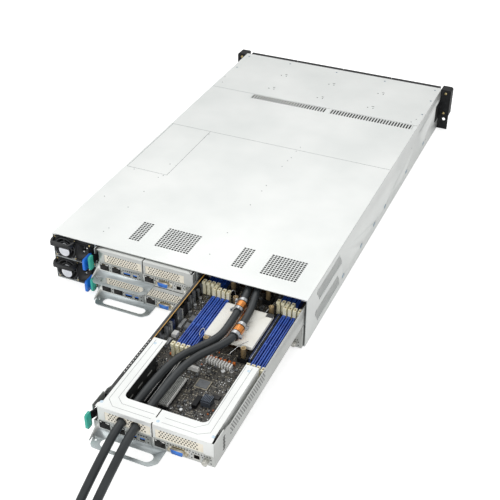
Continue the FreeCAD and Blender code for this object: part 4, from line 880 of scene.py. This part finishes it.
# turned cans: centre, radius and height
boardCans = (
    (94.5, 154.7, 3.4, 8.0), (115.8, 155.2, 3.4, 8.0), (127.2, 160.2, 3.4, 8.0), (14.0, 274.0, 2.9, 7.5),
    (14.2, 256.0, 2.9, 7.5), (14.0, 292.0, 2.9, 7.5), (22.0, 284.0, 2.9, 7.5), (166.0, 70.0, 3.2, 8.0),
    (166.0, 80.0, 3.2, 8.0), (33.5, 40.0, 3.2, 8.0), (24.5, 34.0, 3.2, 8.0), (150.0, 72.0, 3.2, 8.0),
    (132.0, 142.0, 3.2, 8.0), (143.0, 148.0, 3.2, 8.0), (82.0, 64.0, 2.6, 6.5), (96.0, 66.0, 2.6, 6.5),
)
wireBails = (
    ((57, 300, 10), (57.5, 305.7, 22), (60.5, 311, 27), (66, 308, 26), (74.6, 288.7, 24), (77, 283, 22)),
    ((60, 199, 14), (59, 199, 20), (56.6, 202.8, 24), (58, 209, 27), (61, 211, 27), (63.5, 206, 25)),
    ((120, 287, 14), (123.9, 289.4, 20), (127, 303, 23), (129.8, 318.6, 24)),
    ((108, 190, 10), (113.3, 194.4, 16), (121, 202, 24), (129.7, 210.6, 26)),
)
# block round a spring post: left, right, near and far side from the post's axis
postBlocks = ((-7.5, -4.3, -6, 6), (4.3, 7.5, -6, 6), (-4.3, 4.3, -6, -4.3), (-4.3, 4.3, 4.3, 6))


def inNode(x, y, z):
    return pulled["x"] + x, pulled["y"] + y, pulled["z"] + z


def onSled(piece):
    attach(piece, "upper_right_sled")
    return piece


def isBare(x, y, margin):
    # whether a spot of the board is free of sockets, plates, posts and the larger parts
    for left, start in sled["banks"]:
        if left - 2 - margin < x < left + 29.5 + margin and start - 9 - margin < y < start + 139 + margin:
            return False
    if onPlate(x, y, margin + 0.5):
        return False
    for cx, cy in sled["plates"]:
        if abs(abs(x - cx) - 29) < 8 + margin and abs(abs(y - cy) - 51) < 7 + margin:
            return False
    for left, near, width, depth in [block[:4] for block in boardBlocks]:
        if left - margin < x < left + width + margin and near - margin < y < near + depth + margin:
            return False
    return all(math.hypot(x - cx, y - cy) > radius + margin for cx, cy, radius, height in boardCans)


def strewBoard():
    # small parts on a jittered grid: ceramics with tinned ends, black chips, coils and flat packs
    draw = random.Random(board["seed"])
    kinds = {
        "Ceramics": (beigeCeramic, (2.0, 1.1, 0.9), 34), "Resistors": (chipEpoxy, (1.9, 1.1, 0.7), 22),
        "Chips": (chipEpoxy, (3.0, 2.8, 1.1), 14), "Coils": (greyLid, (3.0, 3.0, 2.4), 7),
        "Tantalums": (orangeFerrite, (2.2, 1.4, 1.3), 3), "Pads": (canAluminium, (1.5, 1.3, 0.3), 14),
    }
    places = {name: [] for name in kinds}
    ends = []
    across = int((board["right"] - board["left"]) / board["pitch"])
    along = int((board["far"] - board["near"]) / board["pitch"])
    for column in range(across):
        for row in range(along):
            x = board["left"] + (column + 0.5) * board["pitch"] + draw.uniform(-0.5, 0.5)
            y = board["near"] + (row + 0.5) * board["pitch"] + draw.uniform(-0.5, 0.5)
            if not isBare(x, y, 1.8) or draw.random() > board["share"]:
                continue
            name = draw.choices(list(kinds), [kind[2] for kind in kinds.values()])[0]
            turn = draw.choice((0, 90))
            spot = inNode(x, y, board["top"])
            size = kinds[name][1]
            places[name].append((spot, size, turn))
            if name in ("Ceramics", "Resistors", "Chips"):
                ends.append((spot, (size[0] + 0.9, size[1] * 0.82, size[2] * 0.55), turn))
    for name, (material, size, share) in kinds.items():
        onSled(scatterBlocks(f"board{name}", places[name], material))
    onSled(scatterBlocks("boardTinnedEnds", ends, canAluminium))


def standBlocks():
    low = board["top"]
    byMaterial = {}
    for left, near, width, depth, foot, height, material, bevel in boardBlocks:
        start = inNode(left, near, low + foot)
        end = inNode(left + width, near + depth, low + foot + height)
        byMaterial.setdefault(material.name, []).append(boxPiece("block", start, end, material, bevel))
    for name, pieces in byMaterial.items():
        onSled(joinPieces(f"board_{name}", pieces))
    # legs that show beside the flat chips, each box laid twice in one place, which darkens the metal
    legs = []
    for left, near, width, depth, foot, height, material, bevel in boardBlocks:
        if height < 1.5 and foot == 0:
            spot = inNode(left + width / 2, near + depth / 2, low)
            legs.append((spot, (width + 2.0, depth - 1.4, 0.35), 0))
    legs += [(spot, (size[1], size[0], size[2]), 90) for spot, size, turn in legs]
    onSled(scatterBlocks("boardChipLegs", legs, canAluminium))
    # rows: fins of the small sink, pins of the card slots, white fins and orange coils of the regulator
    fins = [(inNode(114.9 + 2.1 * i, 95, low + 8.0), (0.8, 13.6, 3.0), 0) for i in range(7)]
    onSled(scatterBlocks("boardSinkFins", fins, blueGreyFins))
    pins = [(inNode(x, 60 + 2.0 * i, low + 6.6), (1.0, 1.2, 0.4), 0)
            for x in (42.2, 44.8, 50.2, 52.8) for i in range(50)]
    onSled(scatterBlocks("boardSlotPins", pins, whiteNylon))
    fans = [(inNode(84 + 4.18 * i, 173 - 0.44 * i, low), (2.0, 9.0, 7.6), 0) for i in range(10)]
    onSled(scatterBlocks("boardWhiteFins", fans, whiteNylon))
    coils = [(inNode(79 + 7 * i, 180.5, low), (3.6, 3.4, 4.0), 0) for i in range(7)]
    onSled(scatterBlocks("boardOrangeCoils", coils, orangeFerrite))
    cans = []
    for x, y, radius, height in boardCans:
        profile = [(0, 0), (radius, 0), (radius, height * 0.2), (radius * 0.93, height * 0.26),
                   (radius, height * 0.32), (radius, height - 0.4), (radius - 0.4, height), (0, height)]
        cans.append(turnedPiece("can", profile, inNode(x, y, low), (0, 0, 1), canAluminium, 12))
    onSled(joinPieces("boardCans", cans))
    bands = []
    for x, y, radius, height in boardCans[::2]:
        profile = [(radius - 0.5, height + 0.03), (radius * 0.2, height + 0.03)]
        bands.append(turnedPiece("band", profile, inNode(x, y, low), (0, 0, 1), chipEpoxy, 12))
    onSled(joinPieces("boardCanMarks", bands))


def layWires():
    for number, route in enumerate(wireBails, start=1):
        onSled(tubePiece(f"wireBail{number}", [inNode(*point) for point in route], 0.6, stainless))
    pipe = [inNode(98.5, y, 24.2) for y in (203, 220, 250, 280, 292)]
    onSled(tubePiece("platePipe", pipe, 2.3, drawnCopper))
    blocks = []
    for cx, cy in sled["plates"]:
        for sx, sy in ((-1, -1), (1, -1), (-1, 1), (1, 1)):
            x, y = cx + 29 * sx, cy + 51 * sy
            for left, right, near, far in postBlocks:
                if isBareOfSockets(x + left, y) and isBareOfSockets(x + right, y):
                    start, end = inNode(x + left, y + near, 3.4), inNode(x + right, y + far, 11.0)
                    blocks.append(boxPiece("block", start, end, blackAbs))
    onSled(joinPieces("postBlocks", blocks))


def isBareOfSockets(x, y):
    return not any(left - 1 < x < left + 29 and start - 8 < y < start + 138 for left, start in sled["banks"])


def lineWalls():
    # black film inside the left wall, its folded rim with pale marks, an amber strip and the riser's sheet
    onSled(joinPieces("wallFilm", [
        boxPiece("film", inNode(4.0, 30, 4.0), inNode(4.5, 476, 33.0), blackFilmAndVentShade),
        boxPiece("rim", inNode(4.0, 30, 33.0), inNode(7.9, 476, 33.5), blackFilmAndVentShade),
        boxPiece("sheet", inNode(31.6, 29, 3.5), inNode(32.4, 118, 38.4), blackFilmAndVentShade),
    ]))
    bars = [boxPiece("bar", inNode(32.4, near, 22), inNode(32.55, near + 13, 24.2), ribGrey)
            for near in (40, 66, 92)]
    onSled(joinPieces("sheetSlots", bars))
    onSled(boxPiece("wallStrip", inNode(7.9, 152, 33.0), inNode(8.8, 476, 33.5), amberTape))
    marks = [(inNode(5.9, 78 + 6 * i, 33.5), (1.1, 2.4, 0.2), 0) for i in range(13)]
    onSled(scatterBlocks("wallMarks", marks, whiteNylon))
    # holes in the right wall, drawn as dark discs of painted shade
    places = [(inNode(177.08, 48 + 5.4 * i + (row % 2) * 2.7, 16.5 + 4.3 * row), (1, 1, 1), 0)
              for row in range(4) for i in range(21)]
    places += [(inNode(177.08, 27 + (i % 2) * 1.2, 8.0 + 3.0 * i), (1.3, 2.4, 0.8), 0) for i in range(8)]
    onSled(scatterDots("wallHoles", 1.5, "right", places, holeShadePaint))


def standAlongWall():
    # coils, cans and connectors that stand close to the left wall
    draw = random.Random(board["seed"] + 1)
    looks = (greyLid, canAluminium, chipEpoxy, blackAbs, ribGrey, navyFilm)
    places = {look.name: (look, []) for look in looks}
    for i in range(46):
        look = draw.choices(looks, (24, 16, 26, 16, 12, 6))[0]
        height = draw.uniform(9, 27)
        spot = inNode(7.2 + draw.uniform(-0.3, 0.3), 153 + 6.9 * i, 3.5)
        places[look.name][1].append((spot, (4.4, draw.uniform(3.2, 6.2), height), 0))
    for name, (look, spots) in places.items():
        if spots:
            onSled(scatterBlocks(f"wall_{name}", spots, look))


cageLines = (
    ((18, 146), (18, 18), (29, 7.5), (85, 7.5)), ((28, 146), (28, 25), (38, 16.5), (85, 16.5)),
    ((100, 7.5), (150, 7.5), (164, 16), (164, 146)), ((100, 16.5), (142, 16.5), (155, 28), (155, 146)),
)
cageFixings = ((12.0, 9.4), (170.2, 11.4), (95.0, 7.6), (20.0, 139.0), (162.0, 139.0))


def dressCage():
    # pressed lines along the riser cages, painted grey as their shade, their corner fixings and the plate that
    # joins them
    for number, line in enumerate(cageLines, start=1):
        route = [inNode(x, y, 40.5) for x, y in line]
        onSled(tubePiece(f"pressedLine{number}", route, 0.45, pressedLineGreyShade, False))
    head = [(0, 0), (2.4, 0), (2.4, 0.1), (1.9, 0.2), (0, 0.2)]
    fixings = [turnedPiece("fixing", head, inNode(x, y, 40.74), (0, 0, 1), blueZinc, 16)
               for x, y in cageFixings]
    onSled(joinPieces("cageFixings", fixings))
    onSled(boxPiece("cageJoint", inNode(88, 3.0, 40.74), inNode(101, 12.4, 40.8), cageSteel))


def pickPlateFace(spot, normal):
    x, y, z = spot.x - pulled["x"], spot.y - pulled["y"], spot.z - pulled["z"]
    if any(math.hypot(abs(x - cx) - 29, abs(y - cy) - 51) < 4.2 for cx, cy in sled["plates"]):
        return 2
    return 0 if z > 16.45 else 1


def pickFittingFace(spot, normal):
    along = spot.y - chassis["rear"]
    return 0 if along > -20 or -46.3 < along < -33.7 or -98.3 < along < -85.7 else 1


def headLatches():
    # outward head on each latch, and painted shade in its thumb notch
    heads, notches = [], []
    for left, start in sled["banks"]:
        for i in range(4):
            x = left + 7.6 * i + 2.5
            for y, out in ((start - 6.2, -1), (start + 136.2, 1)):
                heads.append((inNode(x, y + out * 1.0, 23.2), (4.8, 2.8, 4.4), 0))
                notches.append((inNode(x, y - out * 2.2, 27.2), (2.6, 3.4, 0.3), 0))
    onSled(scatterBlocks("latchHeads", heads, creamLatch))
    onSled(scatterBlocks("latchNotches", notches, tanShade))


splitCopy("node_upper_right_cold_plates", "upper_right_sled", [ivoryPlate, darkCopper, postBrass],
          pickPlateFace)
splitCopy("hose_fittings", "upper_right_sled", [drawnCopper, stainless], pickFittingFace)
strewBoard()
standBlocks()
layWires()
lineWalls()
standAlongWall()
dressCage()
headLatches()
print("pulled node filled")


# Drive carriers: black bezels, grey levers, bare drives on steel rails

carrier = {"rail": 1.95, "leverFrom": 13.9, "leverHalf": 5.1, "button": (3.0, 12.4), "lamps": (5.2, 9.8),
           "ridges": (-3.6, -1.6, 0.4, 2.4)}


def cornersOf(node):
    spots = [node.matrix_world @ corner.co / mm for corner in node.data.vertices]
    return [[pick(spot[i] for spot in spots) for i in range(3)] for pick in (min, max)]


def pickCarrierFace(low, high, spot):
    x, y = spot.x - low[0], spot.y - chassis["front"] - 0.3
    middle = (low[2] + high[2]) / 2
    if y < -0.05:
        return 2 if x < carrier["rail"] or spot.x > high[0] - carrier["rail"] else 3
    if x > carrier["leverFrom"] and abs(spot.z - middle) < carrier["leverHalf"] and 3.95 < y < 16.1:
        return 1
    return 0


def dressCarrier(place):
    name, body = f"drive_carrier_{place}", f"carrier_{place}"
    low, high = cornersOf(nodes[name])
    splitCopy(name, body, [blackAbs, leverGrey, zincInnerShaded, driveAlloy],
              lambda spot, normal: pickCarrierFace(low, high, spot))
    start, middle = chassis["front"] + 0.3, (low[2] + high[2]) / 2
    left, right = carrier["button"]
    button = boxPiece("button", (low[0] + left, start + 4.0, middle - 4.6),
                      (low[0] + right, start + 15.4, middle + 2.2), leverGrey, 0.5)
    ridges = [boxPiece("ridge", (low[0] + 20, start + 16.0, middle + dz),
                       (high[0] - 8, start + 16.4, middle + dz + 0.7), blackAbs) for dz in carrier["ridges"]]
    rideJoined(f"{body}Button", [button], body)
    rideJoined(f"{body}Ridges", ridges, body)
    lens = [(0, 0), (1.0, 0), (1.0, 1.4), (0.6, 1.8), (0, 1.9)]
    lamps = [turnedPiece("lamp", lens, (low[0] + x, start + 13.0, middle + 4.4), (0, 1, 0), lampLens, 10)
             for x in carrier["lamps"]]
    rideJoined(f"{body}Lamps", lamps, body)


for column in range(1, 5):
    for row in range(1, 4):
        dressCarrier(f"{column}{row}")
print("carriers dressed")


# Cover: small fixings, and dark sheets under the vents as painted shade

coverMarks = {
    "clusters": ((-108.0, 706.0), (-1.0, 706.0), (106.0, 706.0), (-108.0, 637.0), (-1.0, 637.0),
                 (106.0, 637.0)),
    "dots": ((-210.0, 768.0), (-113.0, 768.0), (-6.0, 768.0), (101.0, 768.0), (209.0, 768.0),
             (214.0, 716.0), (214.0, 651.0), (-211.0, 705.0), (-214.0, 650.0), (-208.0, 624.0),
             (209.0, 626.0), (203.0, 611.0)),
    "wallRivets": ((38.5, 115.0), (38.5, 207.0), (38.5, 256.0), (38.5, 276.0), (38.5, 349.0), (40.0, 372.0),
                   (42.0, 385.0), (38.5, 49.0), (-146.0, 37.0), (-143.0, 49.0), (-146.0, 117.0),
                   (-146.0, 172.0), (-200.0, 131.0), (-146.0, 224.0), (-141.0, 233.0), (-149.0, 274.0),
                   (-136.0, 389.0), (-134.0, 405.0), (41.5, 411.0), (43.0, 428.0), (-199.0, 232.0)),
    "rivets": ((543.0, 16.5), (662.0, 18.7), (681.0, 18.8), (567.0, 55.5)),
    "seams": ((-219.0, 416.0, 219.0, 416.0), (-219.0, 600.0, 219.0, 600.0), (-216.0, 237.0, -216.0, 416.0),
              (-136.0, 237.0, -136.0, 416.0), (-216.0, 237.0, -136.0, 237.0)),
    "seamHalf": 0.35,
    # sheets of painted shade under the cover's sheet: near left and far right corner, then lowest and highest
    # point of each
    "ventShadeSheet": ((-138, 40), (214, 175), ((85.5, 85.8),)),
    "sideVentShadeSheets": ((218.35, 12), (218.65, 195), ((3.0, 41.0), (45.0, 84.0))),
    "fanSlotShadeSheet": ((-205, 560), (217, 598), ((85.5, 85.8),)),
}


def markCover():
    rear, top, half = chassis["rear"], chassis["top"], chassis["half"]
    # small fixings of the cover, drawn as dark discs of painted hole shade
    fixings = [((x, rear + y, top + 0.03), (0.8, 0.8, 1), 0) for x, y in coverMarks["dots"]]
    for x, y in coverMarks["clusters"]:
        fixings += [((x, rear + y, top + 0.03), (1, 1, 1), 0), ((x + 11, rear + y, top + 0.03), (1, 1, 1), 0),
                    ((x + 9, rear + y + 7, top + 0.03), (2.2, 0.7, 1), 0)]
    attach(scatterDots("coverFixings", 1.5, "up", fixings, holeShadePaint), "chassis")
    rivets = [((x, rear + y, top + 0.03), (0.75, 0.75, 1), 0) for x, y in coverMarks["wallRivets"]]
    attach(scatterDots("coverRivets", 1.5, "up", rivets, rivetGreyAndSeamShadow), "chassis")
    rivets = [((half + 0.04, rear + y, z), (1, 1, 1), 0) for y, z in coverMarks["rivets"]]
    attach(scatterDots("sideRivets", 1.6, "right", rivets, rivetGreyAndSeamShadow), "chassis")
    # a dark strip on the side just below the cover's edge: painted shadow of the seam
    edge = boxPiece("coverSeam", (half - 0.02, rear + 1, 86.0), (half + 0.05, -rear - 30, 86.35), holeShadePaint)
    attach(edge, "chassis")
    # dark sheets under the vents of the cover, the side wall and the fan cover, as painted shade behind the holes
    for name in ("ventShadeSheet", "sideVentShadeSheets", "fanSlotShadeSheet"):
        (x1, y1), (x2, y2), heights = coverMarks[name]
        films = [boxPiece("film", (x1, rear + y1, low), (x2, rear + y2, high), blackFilmAndVentShade) for low, high in heights]
        rideJoined(name, films, "chassis")
    # shadow lines where the cover's sheets meet
    wide = coverMarks["seamHalf"]
    seams = [boxPiece("seam", (x1 - wide, rear + y1 - wide, top - 0.3),
                      (x2 + wide, rear + y2 + wide, top + 0.03), rivetGreyAndSeamShadow)
             for x1, y1, x2, y2 in coverMarks["seams"]]
    rideJoined("coverSeams", seams, "chassis")


markCover()
print("cover marked")


# Screws: brass on the ears, zinc on the cover

splitCopy("chassis_screws", "chassis", [blueZinc, turnedBrass],
          lambda spot, normal: 1 if abs(spot.x) > 222 else 0)


# Floor and light

studio = {
    "floorSize": 12.0, "worldStrength": 0.62, "floorGlow": 0.62, "mirroredFloor": 0.25, "aim": (0, -0.1, 0),
    # power, place and size of each lamp
    "lamps": {"softKey": (31.0, (-0.9, 1.2, 2.7), 3.2), "softFill": (30.0, (0.5, -3.0, 1.5), 2.0)},
}


def makeStudio():
    world = bpy.data.worlds.new("paleRoom")
    bpy.context.scene.world = world
    world.use_nodes = True
    tree = world.node_tree
    background = tree.nodes["Background"]
    rays = tree.nodes.new("ShaderNodeLightPath")
    either = tree.nodes.new("ShaderNodeMath")
    either.operation = "MAXIMUM"
    tree.links.new(rays.outputs["Is Camera Ray"], either.inputs[0])
    tree.links.new(rays.outputs["Is Transmission Ray"], either.inputs[1])
    strength = tree.nodes.new("ShaderNodeMapRange")
    strength.inputs["To Min"].default_value = studio["worldStrength"]
    strength.inputs["To Max"].default_value = 1.0
    tree.links.new(either.outputs[0], strength.inputs["Value"])
    tree.links.new(strength.outputs["Result"], background.inputs["Strength"])
    background.inputs["Color"].default_value = (1, 1, 1, 1)

    bpy.ops.mesh.primitive_plane_add(size=studio["floorSize"], location=(0, 0, -0.0005))
    floor = bpy.context.object
    floor.name = "studioFloor"
    bpy.ops.object.transform_apply(location=True)
    # painted board, matt white
    paint, shader, place = newMaterial("mattWhiteFloor", {"Roughness": 0.8, "Specular IOR Level": 0.2})
    speck = addNode(paint, "ShaderNodeTexNoise", {"Scale": 40.0}, {"Vector": (place, "Object")})
    tint = addNode(paint, "ShaderNodeValToRGB", {}, {"Fac": (speck, "Fac")})
    tint.color_ramp.elements[0].color = linear("#e6e6e6")
    tint.color_ramp.elements[1].color = linear("#eeeeee")
    link(paint, tint, "Color", shader, "Base Color")
    path = addNode(paint, "ShaderNodeLightPath")
    mirrored = addNode(paint, "ShaderNodeMath", {"operation": "MULTIPLY", 1: studio["mirroredFloor"]},
                       {0: (path, "Is Glossy Ray")})
    seen = addNode(paint, "ShaderNodeMath", {"operation": "MAXIMUM"},
                   {0: (path, "Is Camera Ray"), 1: (mirrored, "Value")})
    glow = addNode(paint, "ShaderNodeMapRange", {"To Min": 0.0, "To Max": studio["floorGlow"]},
                   {"Value": (seen, "Value")})
    shader.inputs["Emission Color"].default_value = (1, 1, 1, 1)
    link(paint, glow, "Result", shader, "Emission Strength")
    floor.data.materials.append(paint)

    for name, (power, spot, size) in studio["lamps"].items():
        data = bpy.data.lights.new(name, "AREA")
        data.energy = power
        data.size = size
        lamp = bpy.data.objects.new(name, data)
        aim = (Vector(studio["aim"]) - Vector(spot)).to_track_quat("-Z", "Y")
        lamp.matrix_world = Matrix.Translation(spot) @ aim.to_matrix().to_4x4()
        bpy.context.scene.collection.objects.link(lamp)


makeStudio()
bpy.context.scene.view_settings.view_transform = "Standard"
print("studio set")
